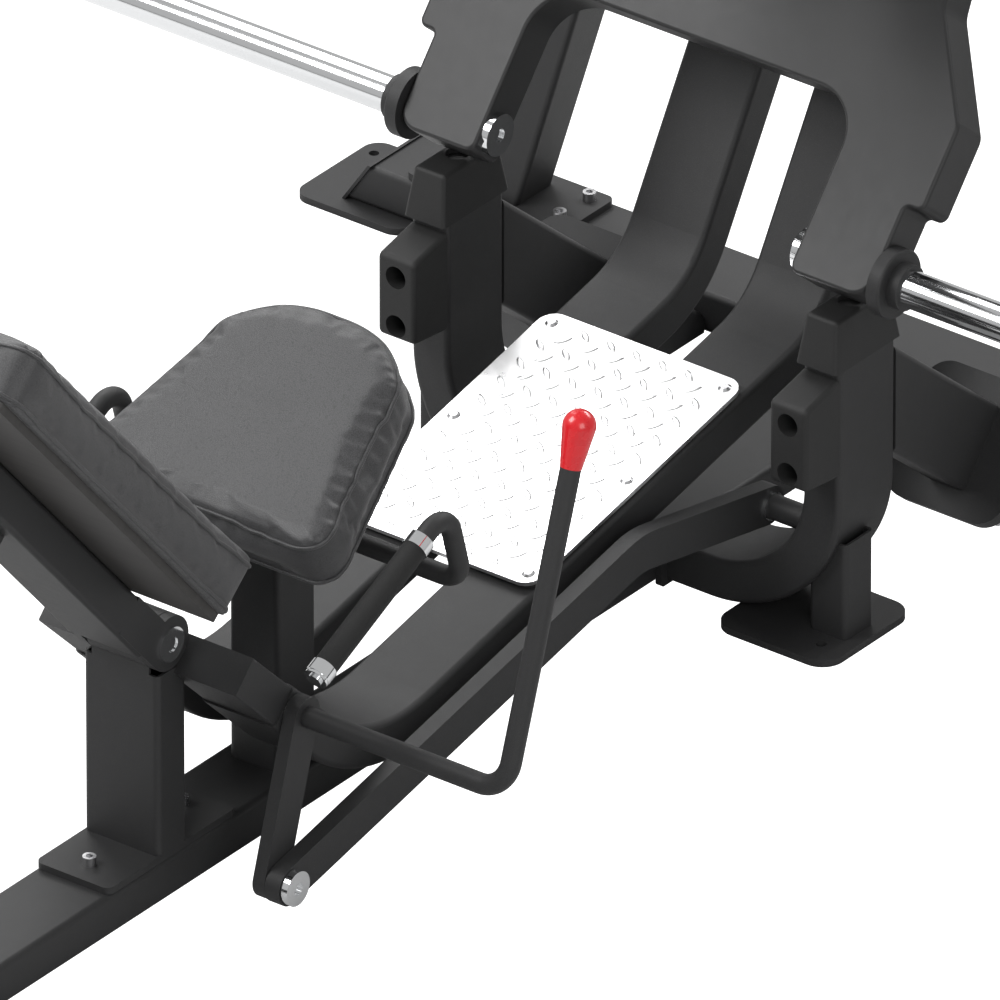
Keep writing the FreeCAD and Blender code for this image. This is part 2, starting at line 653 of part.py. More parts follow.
# ---------------------------------------------------------------- front post and backrest hub
hub_gap = s.hubRadius + s.apart
hub_y = seam[0] - s.headLength * rise_y - hub_gap * rise_y
hub_z = seam[1] + s.headLength * rise_z + hub_gap * rise_z
beam_top = s.plate + s.tubeThick
hub_place = (0, f"uprightY + {hub_y}", f"{hub_z}")
post_tube = moved(tube("front_post", "tubeWide", "tubeThick", f"{hub_z - beam_top - s.plate}"),
                  (0, "uprightY + postY", "plate + tubeThick + plate"))
hub_void = moved(rod("hub_void", "hubRadius", "tubeWide + 2", ("-tubeWide / 2 - 1", 0, 0), TO_ACROSS),
                 hub_place)
ear_void = moved(box("ear_void", "tubeWide", "2 * tubeThick", "tubeWide",
                     ("hubHalf", "-tubeThick", "-hubRadius - 2")), hub_place)
post_cut = cut("post_cut", post_tube, hub_void, ear_void, mirrored("ear_void_left", ear_void), rail_head,
               mirrored("rail_head_void", rail_head))
post_flange = moved(floor_plate("post_flange", "tubeWide", "postFlangeLong", "plate", 12,
                                [(0, "postBoltPitch / 2"), (0, "-postBoltPitch / 2")], "braceBolt"),
                    (0, "uprightY + postY", "plate + tubeThick"))
keep("front_post", fuse("post_joined", post_cut, post_flange))
post_bolts = [moved(screw(f"post_bolt{i}", "boltHead", "boltHeadHigh", "braceBolt", "plate"),
                    (0, f"uprightY + postY + {y} * postBoltPitch / 2", "2 * plate + tubeThick"))
              for i, y in enumerate((-1, 1))]
hub_bar = rod("hub_bar", "hubRadius", "2 * hubHalf", ("-hubHalf", 0, 0), TO_ACROSS)
hub_bore = rod("hub_bore", "hubShaft + running", "2 * hubHalf + 2", ("-hubHalf - 1", 0, 0), TO_ACROSS)
keep("backrest_hub", moved(cut("hub_tube", hub_bar, hub_bore), hub_place))

# ---------------------------------------------------------------- backrest, made upright about its hub
lean = turned(s.backTilt)
shaft_long = "2 * (hubHalf + apart + earThick)"
back_shaft = rod("back_shaft", "hubShaft", shaft_long, (f"-{shaft_long} / 2", 0, 0), TO_ACROSS)
shaft_cap = rod("back_cap", "capRadius", "backCapThick", (f"{shaft_long} / 2", 0, 0), TO_ACROSS)
cap_dimple = rod("back_cap_dimple", "capRadius * 0.45", "capThick",
                 (f"{shaft_long} / 2 + backCapThick / 2", 0, 0), TO_ACROSS)
cap_turned = cut("back_cap_turned", shaft_cap, cap_dimple)
shaft_set = group("back_shaft_set", back_shaft, cap_turned, mirrored("back_cap_left", cap_turned))
keep("backrest_shaft", moved(shaft_set, hub_place, lean))
ear = rod("ear_disc", "hubRadius", "earThick", ("hubHalf + apart", 0, 0), TO_ACROSS)
ear_arm = box("ear_arm", "earThick", "backSpine - 4", "backLow",
              ("hubHalf + apart", "backOffset - backSpine + 4", 0))
ear_bore = rod("ear_bore", "hubShaft", "earThick + 2", ("hubHalf + apart - 1", 0, 0), TO_ACROSS)
ear_right = cut("ear_right", fuse("ear_joined", ear, ear_arm), ear_bore)
spine = moved(tube("back_spine", shaft_long, "backSpine", "backLow + backLong - 60 - spineLow"),
              (0, "backOffset - backSpine / 2", "spineLow"))
back_joined = fuse("back_frame_joined", ear_right, mirrored("ear_left", ear_right), spine)
back_frame = moved(back_joined, hub_place, lean)
back_board = bar("back_board", "backWide - 40", "board", "backLong - 30", 5, ALONG)
board_seat = (0, "backOffset + board / 2", "backLow + 15")
keep("backrest_board", moved(moved(back_board, board_seat), hub_place, lean))
back_pad = bar("back_pad", "backWide", "backThick", "backLong", 30, ALONG)
pad_seat = (0, "backOffset + board + backThick / 2", "backLow")
keep("backrest_pad", moved(moved(back_pad, pad_seat), hub_place, lean))
lug = box("back_lug", 8, "lugBehind + backOffset - backSpine + 18", 44,
          ("innerSide / 2 + 2", "-lugBehind - 18", "lugAlong - 22"))
lug_hole = rod("back_lug_hole", "lugPin", 14, ("innerSide / 2 - 1", "-lugBehind", "lugAlong"), TO_ACROSS)
lug_right = cut("back_lug_right", lug, lug_hole)
lug_pair = moved(group("back_lug_pair", lug_right, mirrored("back_lug_left", lug_right)), hub_place, lean)
keep("backrest_frame", group("back_frame_set", back_frame, lug_pair))

# adjuster: sleeve on the base, inner tube to the backrest's lugs
lug_y = hub_y - s.lugAlong * sin(s.backTilt) - s.lugBehind * cos(s.backTilt)
lug_z = hub_z + s.lugAlong * cos(s.backTilt) - s.lugBehind * sin(s.backTilt)
strut_angle = math.degrees(math.atan2(lug_y - s.braceFootY, lug_z - s.braceFootZ))
strut_long = math.hypot(lug_y - s.braceFootY, lug_z - s.braceFootZ)
adjust_turn = turned(-strut_angle)
adjust_at = (0, "uprightY + braceFootY", "braceFootZ")
sleeve = moved(tube("sleeve", "sleeveSide", "sleeveSide", "sleeveLong", 5, 3), (0, 0, 40))
tongue_bar = box("sleeve_tongue_bar", "sleeveSide - 10", 34, 58, ("-sleeveSide / 2 + 5", -17, -20))
sleeve_plug = box("sleeve_plug", "sleeveSide", "sleeveSide", 10, ("-sleeveSide / 2", "-sleeveSide / 2", 30))
sleeve_eye = rod("sleeve_eye", "footPin", "sleeveSide", ("-sleeveSide / 2", 0, 0), TO_ACROSS)
knob_hole = rod("knob_hole", "popPin + 1", 30, ("sleeveSide / 2 - 15", 0, "sleeveLong"), TO_ACROSS)
sleeve_joined = fuse("sleeve_joined", sleeve, tongue_bar, sleeve_plug)
sleeve_drilled = cut("sleeve_drilled", sleeve_joined, sleeve_eye, knob_hole)
keep("adjuster_sleeve", moved(sleeve_drilled, adjust_at, adjust_turn))
barrel = rod("pop_barrel_blank", 11, 22, ("sleeveSide / 2", 0, "sleeveLong"), TO_ACROSS)
barrel_bore = rod("pop_barrel_bore", "popPin + running", 24,
                  ("sleeveSide / 2 - 1", 0, "sleeveLong"), TO_ACROSS)
keep("adjuster_barrel", moved(cut("pop_barrel", barrel, barrel_bore), adjust_at, adjust_turn))
pop_blank = rod("pop_head", "popHead", 26, ("sleeveSide / 2 + 23", 0, "sleeveLong"), TO_ACROSS)
pop_head = rounded("pop_head_round", pop_blank, 5, lambda middle, tangent: abs(tangent.x) < 0.001)
pop_pin = rod("pop_pin", "popPin", 28, ("sleeveSide / 2 - 4", 0, "sleeveLong"), TO_ACROSS)
keep("adjuster_knob", moved(fuse("pop_body", pop_head, pop_pin), adjust_at, adjust_turn))
inner = moved(bar("inner_tube", "innerSide", "innerSide", "innerLong", 4),
              (0, 0, f"{strut_long} - innerLong - eyeBore"))
inner_eye = rod("inner_eye", "eyeBore + 7", "innerSide", ("-innerSide / 2", 0, f"{strut_long}"), TO_ACROSS)
inner_bore = rod("inner_bore", "eyeBore", "innerSide + 2",
                 ("-innerSide / 2 - 1", 0, f"{strut_long}"), TO_ACROSS)
pop_holes = [rod(f"pop_hole{i}", "popPin + 0.5", "innerSide + 2",
                 ("-innerSide / 2 - 1", 0, f"sleeveLong + {step} * popPitch"), TO_ACROSS)
             for i, step in enumerate((-2, -1, 0, 1, 2, 3))]
inner_bored = cut("inner_bored", fuse("inner_joined", inner, inner_eye), inner_bore, *pop_holes)
keep("adjuster_inner", moved(inner_bored, adjust_at, adjust_turn))
lug_pin = rod("lug_pin", "lugPin", "innerSide + 20",
              ("-innerSide / 2 - 10", "-lugBehind", "lugAlong"), TO_ACROSS)
keep("backrest_pin", moved(lug_pin, hub_place, lean))
foot_lug = box("adjuster_lug", 8, 50, f"{s.braceFootZ - beam_top + 20}",
               ("sleeveSide / 2 - 4", "uprightY + braceFootY - 25", "plate + tubeThick"))
foot_pin = rod("adjuster_pin", "footPin - running", "sleeveSide + 16",
               ("-sleeveSide / 2 - 8", "uprightY + braceFootY", "braceFootZ"), TO_ACROSS)
foot_joined = fuse("adjuster_foot_joined", foot_lug, mirrored("adjuster_lug_left", foot_lug), foot_pin)
keep("adjuster_bracket", foot_joined)

# ---------------------------------------------------------------- seat, made flat about its front corner
seat_turn = turned(s.seatTilt)
seat_at = (0, "uprightY + seatFrontY", "seatFrontZ")
flare = s.seatLong * math.tan(math.radians(s.seatFlare))
nose_turn = 2 * math.atan2(s.seatNose, s.seatHalf)
nose_corner = s.seatHalf - s.seatNose / math.tan(nose_turn)
seat_points = [(-s.seatHalf, 0, 40), (-s.seatHalf - flare, -s.seatLong, 36),
               (s.seatHalf + flare, -s.seatLong, 36),
               (s.seatHalf, 0, 40), (nose_corner, s.seatNose, 165), (-nose_corner, s.seatNose, 165)]
seat_pad = extrude("seat_foam", outline("seat_line", seat_points, Rotation(), (0, 0, 0)), "seatThick", False)
keep("seat_pad", moved(moved(seat_pad, (0, 0, "-seatThick")), seat_at, seat_turn))
board_points = [(x * 0.88, y * 0.88 - 14, r * 0.8) for x, y, r in seat_points]
seat_board = extrude("seat_ply", outline("seat_board_line", board_points, Rotation()), "board", False)
keep("seat_board", moved(moved(seat_board, (0, 0, "-seatThick - board")), seat_at, seat_turn))
stem = moved(tube("seat_stem", "seatStem", "seatStem", "seatFrontZ - plate - tubeThick"),
             (0, "uprightY + stemY", "plate + tubeThick"))
above_board = moved(box("above_board", 900, 900, 400, (-450, -600, "-seatThick - board")), seat_at, seat_turn)
keep("seat_stem", cut("seat_stem_cut", stem, above_board))
bend_reach = s.railFrontBend * math.tan(math.radians(s.railTilt + s.railRise) / 2)
rail_low_y = corner2[0] + bend_reach * run_y - s.railFrontBend * run_z
gusset = box("rail_gusset", "tubeWide - railX - 2", 80, "tubeThick",
             ("railX - tubeWide / 2 + 1", f"uprightY + {rail_low_y} - 40", "plate + tubeThick"))
rail_gusset = cut("rail_gusset_cut", gusset, rail_solid)

# ---------------------------------------------------------------- side handles


def bent_rod(name, points, bend, radius):
    """Round bar along straight runs joined by tangent arcs."""
    corners = [Vector(*point) for point in points]
    edges, last = [], corners[0]
    for before, here, after in zip(corners, corners[1:], corners[2:]):
        back, ahead = (before - here).normalize(), (after - here).normalize()
        half = back.getAngle(ahead) / 2
        reach = bend / math.tan(half)
        centre = here + (back + ahead).normalize() * (bend / math.sin(half))
        middle = centre + (here - centre).normalize() * bend
        edges.append(Part.LineSegment(last, here + back * reach).toShape())
        edges.append(Part.Arc(here + back * reach, middle, here + ahead * reach).toShape())
        last = here + ahead * reach
    edges.append(Part.LineSegment(last, corners[-1]).toShape())
    ring = Part.Wire([Part.makeCircle(radius, corners[0], corners[1] - corners[0])])
    obj = doc.addObject("Part::Feature", name)
    obj.Shape = Part.Wire(edges).makePipeShell([ring], True, False)
    return obj


grip_top = Vector(s.handleX, s.uprightY + s.handleY - s.handleBack, s.handleZ + s.handleRise)
grip_way = Vector(0, -cos(s.gripTilt), -sin(s.gripTilt))
grip_turn = turned(90 + s.gripTilt)     # local z forward and down
grip_start = s.handleBend + 22
handle_run = grip_start + 2 * s.ringLong + s.gripLong
handle_low = Vector(s.handleX, s.uprightY + s.handleY, s.handleZ)
handle = bent_rod("handle_bar", [(s.seatStem / 2, handle_low.y, handle_low.z), handle_low, grip_top,
                                 grip_top + grip_way * handle_run], s.handleBend, s.handleRadius)
pair("handles", handle)


def along_grip(obj, distance):
    spot = grip_top + grip_way * distance
    return moved(obj, (spot.x, spot.y, spot.z), grip_turn)


def sleeve_on(name, radius, long, start):
    bore = rod(name + "_bore", "handleRadius", f"({long}) + 2", (0, 0, -1))
    return along_grip(cut(name, rod(name + "_outer", radius, long, (0, 0, 0)), bore), start)


pair("grips", sleeve_on("grip_sleeve", "gripRadius", "gripLong", grip_start + s.ringLong))
ring_set = group("ring_set", sleeve_on("ring_rear", "ringRadius", "ringLong", grip_start),
                 sleeve_on("ring_front", "ringRadius", "ringLong", grip_start + s.ringLong + s.gripLong))
end_disc = rod("handle_end_disc", "ringRadius - 1", 4, (0, 0, 0))
end_step = rod("handle_end_step", "ringRadius * 0.55", 3, (0, 0, 4))
end_cap = along_grip(fuse("handle_end", end_disc, end_step), handle_run)
pair("grip_rings", ring_set, end_cap)

# ---------------------------------------------------------------- release lever and link
lever_at = Vector(0, s.uprightY + s.leverY, s.leverZ)
lever_inner = s.railX + s.tubeWide / 2 - 24
crank_x = s.railX + s.tubeWide / 2 + 2
link_x = crank_x + s.crankThick + s.apart


def on_lever(name, radius, long, start):
    """Disc or bar on the lever's axis."""
    return rod(name, radius, long, (start, lever_at.y, lever_at.z), TO_ACROSS)


bush_shell = on_lever("lever_bush_shell", "leverRod + 4", 25, lever_inner)
bush_collar = on_lever("lever_bush_collar", "leverRod + 9", 1.2, lever_inner + 24)
bush_bore = on_lever("lever_bush_bore", "leverRod + running", 40, lever_inner - 1)
keep("lever_bush", cut("lever_bush_turned", fuse("lever_bush_joined", bush_shell, bush_collar), bush_bore))
bush_seat = on_lever("lever_bush_seat", "leverRod + 4", 40, lever_inner)
keep("rail_right", cut("rail_right_bored", rail, bush_seat))
pair("rail_heads", rail_head)

lever_way = Vector(0, sin(s.leverLean), cos(s.leverLean))
lever_top = Vector(s.leverReach, lever_at.y, lever_at.z) + lever_way * s.leverUp
lever_run = [(lever_inner + 2, lever_at.y, lever_at.z), (s.leverReach, lever_at.y, lever_at.z), lever_top]
keep("lever_rod", bent_rod("lever_bar", lever_run, s.leverBend, s.leverRod))
ball_at = s.knobLong - s.knobRadius
flank = 8.4     # the neck's half angle, where it meets the ball
neck = doc.addObject("Part::Cone", "knob_neck")
bind(neck, "Radius1", "leverRod + 0.5")
bind(neck, "Radius2", f"knobRadius * cos({flank})")
bind(neck, "Height", f"{ball_at} - knobRadius * sin({flank})")
ball = doc.addObject("Part::Sphere", "knob_ball")
bind(ball, "Radius", "knobRadius")
place(ball, (0, 0, ball_at))
socket_bore = rod("knob_socket", "leverRod", "knobSocket", (0, 0, 0))
knob_spot = lever_top - lever_way * s.knobSocket
knob = cut("knob_bored", fuse("knob_joined", neck, ball), socket_bore)
keep("lever_knob", moved(knob, (knob_spot.x, knob_spot.y, knob_spot.z), turned(-s.leverLean)))

pin_at = Vector(0, s.uprightY + pin_y, pin_z)
crank_bar = box("crank_bar", "crankThick", "crankWide", "crankLong",
                (crank_x, "-crankWide / 2", "-crankLong"))
crank_ends = [rod(f"crank_end{i}", "crankWide / 2", "crankThick", (crank_x, 0, z), TO_ACROSS)
              for i, z in enumerate((0, "-crankLong"))]
crank_eyes = [rod(f"crank_eye{i}", r, "crankThick + 2", (crank_x - 1, 0, z), TO_ACROSS)
              for i, (r, z) in enumerate((("leverRod", 0), ("pinRadius", "-crankLong")))]
crank = cut("crank_bored", fuse("crank_joined", crank_bar, *crank_ends), *crank_eyes)
keep("lever_crank", moved(crank, (0, lever_at.y, lever_at.z), turned(-s.crankLean)))
pin_long = s.crankThick + s.apart + s.linkThick + s.apart


def on_pin(name, radius, long, start):
    """Disc or bar on the crank pin's axis."""
    return rod(name, radius, long, (start, pin_at.y, pin_at.z), TO_ACROSS)


pin_rod = on_pin("crank_pin", "pinRadius", pin_long, crank_x)
pin_head = on_pin("crank_pin_head", "capRadius", "capThick", crank_x + pin_long)
pin_dimple = on_pin("crank_pin_dimple", "boltHead", "capThick", crank_x + pin_long + s.capThick * 0.6)
keep("crank_pin", cut("crank_pin_turned", fuse("crank_pin_joined", pin_rod, pin_head), pin_dimple))

bend_point = (pin_y + s.linkRun * cos(s.railTilt), pin_z + s.linkRun * sin(s.railTilt))
link_line = strip([(pin_y, pin_z, 0), (*bend_point, 120), (tail_y, tail_z, 0)], s.linkHigh / 2)
link_sketch = outline("link_line", link_line, SIDE_PLANE, (link_x, "uprightY", 0))
link_bar = extrude("link_bar", link_sketch, "linkThick", False)
link_ends = [rod(f"link_end{i}", "linkHigh / 2", "linkThick", (link_x, f"uprightY + {y}", f"{z}"), TO_ACROSS)
             for i, (y, z) in enumerate(((pin_y, pin_z), (tail_y, tail_z)))]
link_eye = on_pin("link_eye", "pinRadius + running", "linkThick + 2", link_x - 1)


def on_tail(name, radius, long, start):
    """Disc or bar on the slide pin's axis."""
    return rod(name, radius, long, (start, f"uprightY + {tail_y}", f"{tail_z}"), TO_ACROSS)


link_seat = on_tail("link_seat", "slidePin", "linkThick + 2", link_x - 1)
keep("release_link", cut("link_bored", fuse("link_joined", link_bar, *link_ends), link_eye, link_seat))
slide_long = s.uprightX - s.tubeThick / 2 + 10 - link_x
keep("slide_pin", on_tail("slide_pin", "slidePin", slide_long, link_x))
ring_blank = on_tail("slide_ring_blank", "slidePin + 2.5", 4, link_x + s.linkThick)
ring_hole = on_tail("slide_ring_hole", "slidePin", 8, link_x + s.linkThick - 2)
keep("slide_ring", cut("slide_ring_turned", ring_blank, ring_hole))

# ---------------------------------------------------------------- press arm, made flat about the horn axis
arm_turn = turned(s.armTilt)
arm_at = (0, "uprightY + hornY", "hornZ")
leg_wide = s.legOuter - s.legInner - 2 * s.sheetThick - 17
leg_mid = s.legInner + 7 + leg_wide / 2
tube_deep = s.coverDeep - 2 * s.sheetThick


def inset(points, distance):
    """Closed outline moved inwards; its points run anticlockwise."""
    moved_points = []
    for index, (x, y, radius) in enumerate(points):
        before = Vector(x - points[index - 1][0], y - points[index - 1][1], 0).normalize()
        following = points[(index + 1) % len(points)]
        after = Vector(following[0] - x, following[1] - y, 0).normalize()
        mean = (before + after).normalize()
        step = Vector(-mean.y, mean.x, 0) * (distance / mean.dot(after))
        convex = before.x * after.y - before.y * after.x > 0
        new_radius = max(radius - distance, 0.5) if convex else radius + distance
        moved_points.append((x + step.x, y + step.y, new_radius if radius else 0))
    return moved_points


step_high = 95      # the cover widens this far above the horn
right_edge = [(s.legInner, s.legLow, 14), (s.legOuter, s.legLow, 30), (s.legOuter, step_high, 8),
              (s.coverHalf, step_high, 12), (s.coverHalf, 213, 24), (s.coverNeck, 352, 40),
              (s.coverNeck - 26, s.coverTop, 40)]
left_edge = [(-x, y, r) for x, y, r in reversed(right_edge)]
cover_line = right_edge + left_edge + [(-s.legInner, s.webLow, 65), (s.legInner, s.webLow, 65)]
cover_blank = extrude("cover_blank", outline("cover_line", cover_line, Rotation()), "coverDeep")
cover_edges = rounded("cover_round", cover_blank, 5,
                      lambda middle, tangent: abs(middle.z - s.coverDeep / 2) < 0.01)
void_line = outline("cover_void_line", inset(cover_line, s.sheetThick), Rotation(), (0, 0, "-sheetThick"))
cover_void = extrude("cover_void", void_line, "coverDeep")
horn_void = rod("horn_void", "hornShank", "2 * hornTip", ("-hornTip", 0, 0), TO_ACROSS)
spine_x = s.boomX + s.boomWide / 2 + 2 + s.spineWide / 2
spine_void = box("spine_void", "spineWide + 2", 300, "coverDeep",
                 (f"{spine_x} - spineWide / 2 - 1", "coverTop - 20", "-coverDeep / 2 - sheetThick"))
cover_cut = cut("arm_cover_cut", cover_edges, cover_void, horn_void, spine_void,
                mirrored("spine_void_left", spine_void))
keep("arm_cover", moved(cover_cut, arm_at, arm_turn))


def lying_tube(name, wide, long, at):
    """Tube along local y, its depth filling the cover."""
    return moved(tube(name, wide, tube_deep, long, 6), at, turned(-90))


leg_tube = lying_tube("arm_leg_tube", leg_wide, "webLow - legLow + crossHigh / 2",
                      (leg_mid, "legLow + 3 * sheetThick", 0))
pair("arm_legs", moved(cut("arm_leg_bored", leg_tube, horn_void), arm_at, arm_turn))
cross_low = s.webLow + s.sheetThick + 2
cross_half = leg_mid - leg_wide / 2
cross = moved(tube("arm_cross_tube", "crossHigh", tube_deep, 2 * cross_half, 6),
              (-cross_half, f"{cross_low} + crossHigh / 2", 0), Rotation(UP, 90) * Rotation(ACROSS, 90))
keep("arm_cross_tube", moved(cross, arm_at, arm_turn))
hub_solid = rod("press_hub_blank", "pivotHub", "2 * pivotHubHalf",
                ("-pivotHubHalf", "hubAlong", "-hubBehind"), TO_ACROSS)
hub_hole = rod("press_hub_hole", "pivotShaft + running", "2 * pivotHubHalf + 2",
               ("-pivotHubHalf - 1", "hubAlong", "-hubBehind"), TO_ACROSS)
keep("press_hub", moved(cut("press_hub_bored", hub_solid, hub_hole), arm_at, arm_turn))
spine_low = f"{cross_low} + crossHigh"
spine_tube = lying_tube("arm_spine_tube", "spineWide", f"hubAlong - ({spine_low})", (spine_x, spine_low, 0))
pair("arm_spines", moved(cut("arm_spine_cut", spine_tube, hub_solid), arm_at, arm_turn))

# booms and foot plate
pivot_y = s.hornY + s.hubAlong * cos(s.armTilt) + s.hubBehind * sin(s.armTilt)
pivot_z = s.hornZ + s.hubAlong * sin(s.armTilt) - s.hubBehind * cos(s.armTilt)
foot_at = (0, "uprightY + footPlateY", "footPlateZ")
foot_turn = turned(s.footPlateTilt)     # local y away from the user, local z up the plate
foot_blank = box("foot_blank", "footPlateWide", "footPlateThick", "footPlateHigh",
                 ("-footPlateWide / 2", 0, "-footPlateHigh / 2"))
keep("foot_plate", moved(rounded("foot_round", foot_blank, 40, runs(ALONG)), foot_at, foot_turn))
bar_deep = 50
back_bars = [moved(tube(f"foot_bar{i}", "boomWide", bar_deep, "footPlateHigh - 80"),
                   (f"{side} * boomX", f"footPlateThick + {bar_deep} / 2", "40 - footPlateHigh / 2"))
             for i, side in enumerate((-1, 1))]
keep("foot_bars", moved(group("foot_bar_set", *back_bars), foot_at, foot_turn))
boom_tube = moved(tube("boom_tube", "boomWide", "boomHigh", "boomLong + 160"),
                  ("boomX", f"uprightY + {pivot_y}", pivot_z), turned(90 - s.boomTilt))
boom_front = moved(box("boom_front_cut", 600, 400, 900, (-300, f"footPlateThick + {bar_deep} - 400", -450)),
                   foot_at, foot_turn)
hub_placed = moved(hub_solid, arm_at, arm_turn)
pair("booms", cut("boom_cut", boom_tube, boom_front, hub_placed))

# weight horns
horn_seat = "legOuter + flangeThick + 18"       # where the horn's full radius starts
horn_bar = rod("horn_bar", "hornRadius", f"hornTip - ({horn_seat})", (horn_seat, 0, 0), TO_ACROSS)
horn_full = rounded("horn_round", horn_bar, 3, lambda middle, tangent: abs(middle.x - s.hornTip) < 0.01)
horn_shank = rod("horn_shank", "hornShank", f"{horn_seat} - legInner", ("legInner", 0, 0), TO_ACROSS)
pair("weight_horns", moved(fuse("horn_joined", horn_full, horn_shank), arm_at, arm_turn))
flange_disc = rod("horn_flange_disc", "flangeRadius", "flangeThick", ("legOuter", 0, 0), TO_ACROSS)
collar = rod("horn_collar", "hornCollar", 16, ("legOuter + flangeThick", 0, 0), TO_ACROSS)


def flange_rim(middle, _tangent):
    face = abs(middle.x - s.legOuter - s.flangeThick) < 0.01
    return face and math.hypot(middle.y, middle.z) > s.flangeRadius - 1


flange_bored = cut("horn_flange_bored", fuse("horn_flange_joined", flange_disc, collar), horn_void)
flange_turned = rounded("horn_flange_round", flange_bored, 3, flange_rim)
pair("horn_flanges", moved(flange_turned, arm_at, arm_turn))
inner_cap = rod("horn_cap_disc", "hornRadius + 4", "capThick", ("legInner - capThick", 0, 0), TO_ACROSS)
inner_dimple = rod("horn_cap_dimple", "boltHead", "capThick", ("legInner - capThick * 1.6", 0, 0), TO_ACROSS)
horn_cap = cut("horn_cap", inner_cap, inner_dimple)
horn_cap_pair = group("horn_cap_pair", horn_cap, mirrored("horn_cap_left", horn_cap))
keep("horn_caps", moved(horn_cap_pair, arm_at, arm_turn))

# ---------------------------------------------------------------- head beam, press shaft and rear legs
beam_under = "headBeamZ - headBeamHigh / 2"
beam_over = s.headBeamZ + s.headBeamHigh / 2
head_beam_bar = box("head_beam_bar", "2 * headBeamHalf", "tubeWide", "headBeamHigh",
                    ("-headBeamHalf", "uprightY + headBeamY - tubeWide / 2", beam_under))
head_beam_hole = box("head_beam_hole", "2 * headBeamHalf + 2", "tubeWide - 2 * wall",
                     "headBeamHigh - 2 * wall",
                     ("-headBeamHalf - 1", "uprightY + headBeamY - tubeWide / 2 + wall",
                      f"{beam_under} + wall"))
head_beam_round = rounded("head_beam_round", head_beam_bar, s.corner, runs(ACROSS))
keep("head_beam", cut("head_beam_tube", head_beam_round, head_beam_hole))
head_end = box("head_beam_end", 4, "tubeWide", "headBeamHigh",
               ("headBeamHalf", "uprightY + headBeamY - tubeWide / 2", beam_under))
head_end_round = rounded("head_end_round", head_end, s.corner, runs(ACROSS))
pair("beam_caps", cap, head_end_round)
block_y = s.headBeamY - s.tubeWide / 2
block_line = [(block_y + 8, beam_over, 0), (block_y + 112, beam_over, 0), (block_y + 112, beam_over + 22, 10),
              (pivot_y + 38, pivot_z + 46, 30), (pivot_y - 48, pivot_z + 46, 46),
              (pivot_y - 48, pivot_z - 46, 46)]
block_sketch = outline("block_line", block_line, SIDE_PLANE, ("pivotHubHalf + 5", "uprightY", 0))
block = extrude("bearing_block_blank", block_sketch, "blockThick", False)


def on_pivot(name, radius, long, start):
    """Disc or bar on the press pivot's axis."""
    return rod(name, radius, long, (start, f"uprightY + {pivot_y}", pivot_z), TO_ACROSS)


shaft_void = on_pivot("shaft_void", "pivotShaft", "2 * pivotHubHalf + 200", "-pivotHubHalf - 100")
pair("bearing_blocks", cut("bearing_block_bored", block, shaft_void))
shaft_half = "pivotHubHalf + 5 + blockThick"
press_bar = on_pivot("press_shaft", "pivotShaft", f"2 * ({shaft_half})", f"-({shaft_half})")
press_disc = on_pivot("press_cap", "pivotShaft + 8", "capThick", shaft_half)
press_dimple = on_pivot("press_cap_dimple", "boltHead", "capThick", f"{shaft_half} + capThick * 0.6")
press_cap = cut("press_cap_turned", press_disc, press_dimple)
keep("press_shaft", group("press_shaft_set", press_bar, press_cap, mirrored("press_cap_left", press_cap)))

leg_base = s.plate + s.tubeThick + s.plate
leg_rise = s.headBeamZ - s.headBeamHigh / 2 - leg_base
leg_way = Vector(s.headBeamHalf - 31 - s.legFootX, s.headBeamY - 9 - s.legFootY, leg_rise)
leg_turn = Rotation(UP, leg_way)
leg_start = Vector(s.legFootX, s.uprightY + s.legFootY, leg_base) - leg_way * 0.1
rear_leg = moved(tube("rear_leg_tube", "legSide", "legSide", leg_way.Length * 1.2),
                 (leg_start.x, leg_start.y, leg_start.z), leg_turn)
leg_foot_cut = box("leg_foot_cut", 2000, 800, 400, (0, "uprightY + legFootY - 400", leg_base - 400))
leg_head_cut = box("leg_head_cut", 2000, 800, 400, (0, "uprightY + legFootY - 400", beam_under))
pair("rear_legs", cut("rear_leg_cut", rear_leg, leg_foot_cut, leg_head_cut))
leg_bolt_spots = [(f"{x} * (legPlateLong / 2 - 25)", y * 32) for x in (-1, 1) for y in (-1, 1)]
leg_plate = floor_plate("leg_plate", "legPlateLong", "tubeWide - 8", "plate", 12, leg_bolt_spots, "braceBolt")
leg_flange = moved(leg_plate, ("legFootX", rear_y, "plate + tubeThick"))
pair("weld_plates", upright_flange, leg_flange, rail_gusset)
leg_bolts = [moved(screw(f"leg_bolt{i}", "boltHead", "boltHeadHigh", "braceBolt", "plate"),
                   (f"legFootX + {x}", f"{rear_y} + {y}", leg_base))
             for i, (x, y) in enumerate(leg_bolt_spots)]
leg_bolt_set = group("leg_bolt_set", *leg_bolts)

# ---------------------------------------------------------------- rubber stops
stop_wide = s.tubeThick + 6
stop_deep = 140
stop_taper = doc.addObject("Part::Wedge", "stop_taper")
for prop, text in (("Xmin", -stop_wide / 2), ("Xmax", stop_wide / 2),
                   ("X2min", 8 - stop_wide / 2), ("X2max", stop_wide / 2 - 8),
                   ("Ymin", 0), ("Ymax", "stopHigh"),
                   ("Zmin", -stop_deep / 2), ("Zmax", stop_deep / 2),
                   ("Z2min", 12 - stop_deep / 2), ("Z2max", stop_deep / 2 - 12)):
    bind(stop_taper, prop, text)
place(stop_taper, ("uprightX", "uprightY - 2", "stopTop - stopHigh"), turned(90))
stop_round = rounded("stop_round", stop_taper, 6,
                     lambda middle, tangent: middle.z > s.stopTop - s.stopHigh + 1)
stop_recess = rod("stop_recess", "boltRecess", 30, ("uprightX", "uprightY", "stopTop - 8"))
pair("arm_stops", cut("arm_stop", stop_round, upright_solid, stop_recess))
bumper_rear = -s.tubeWide / 2
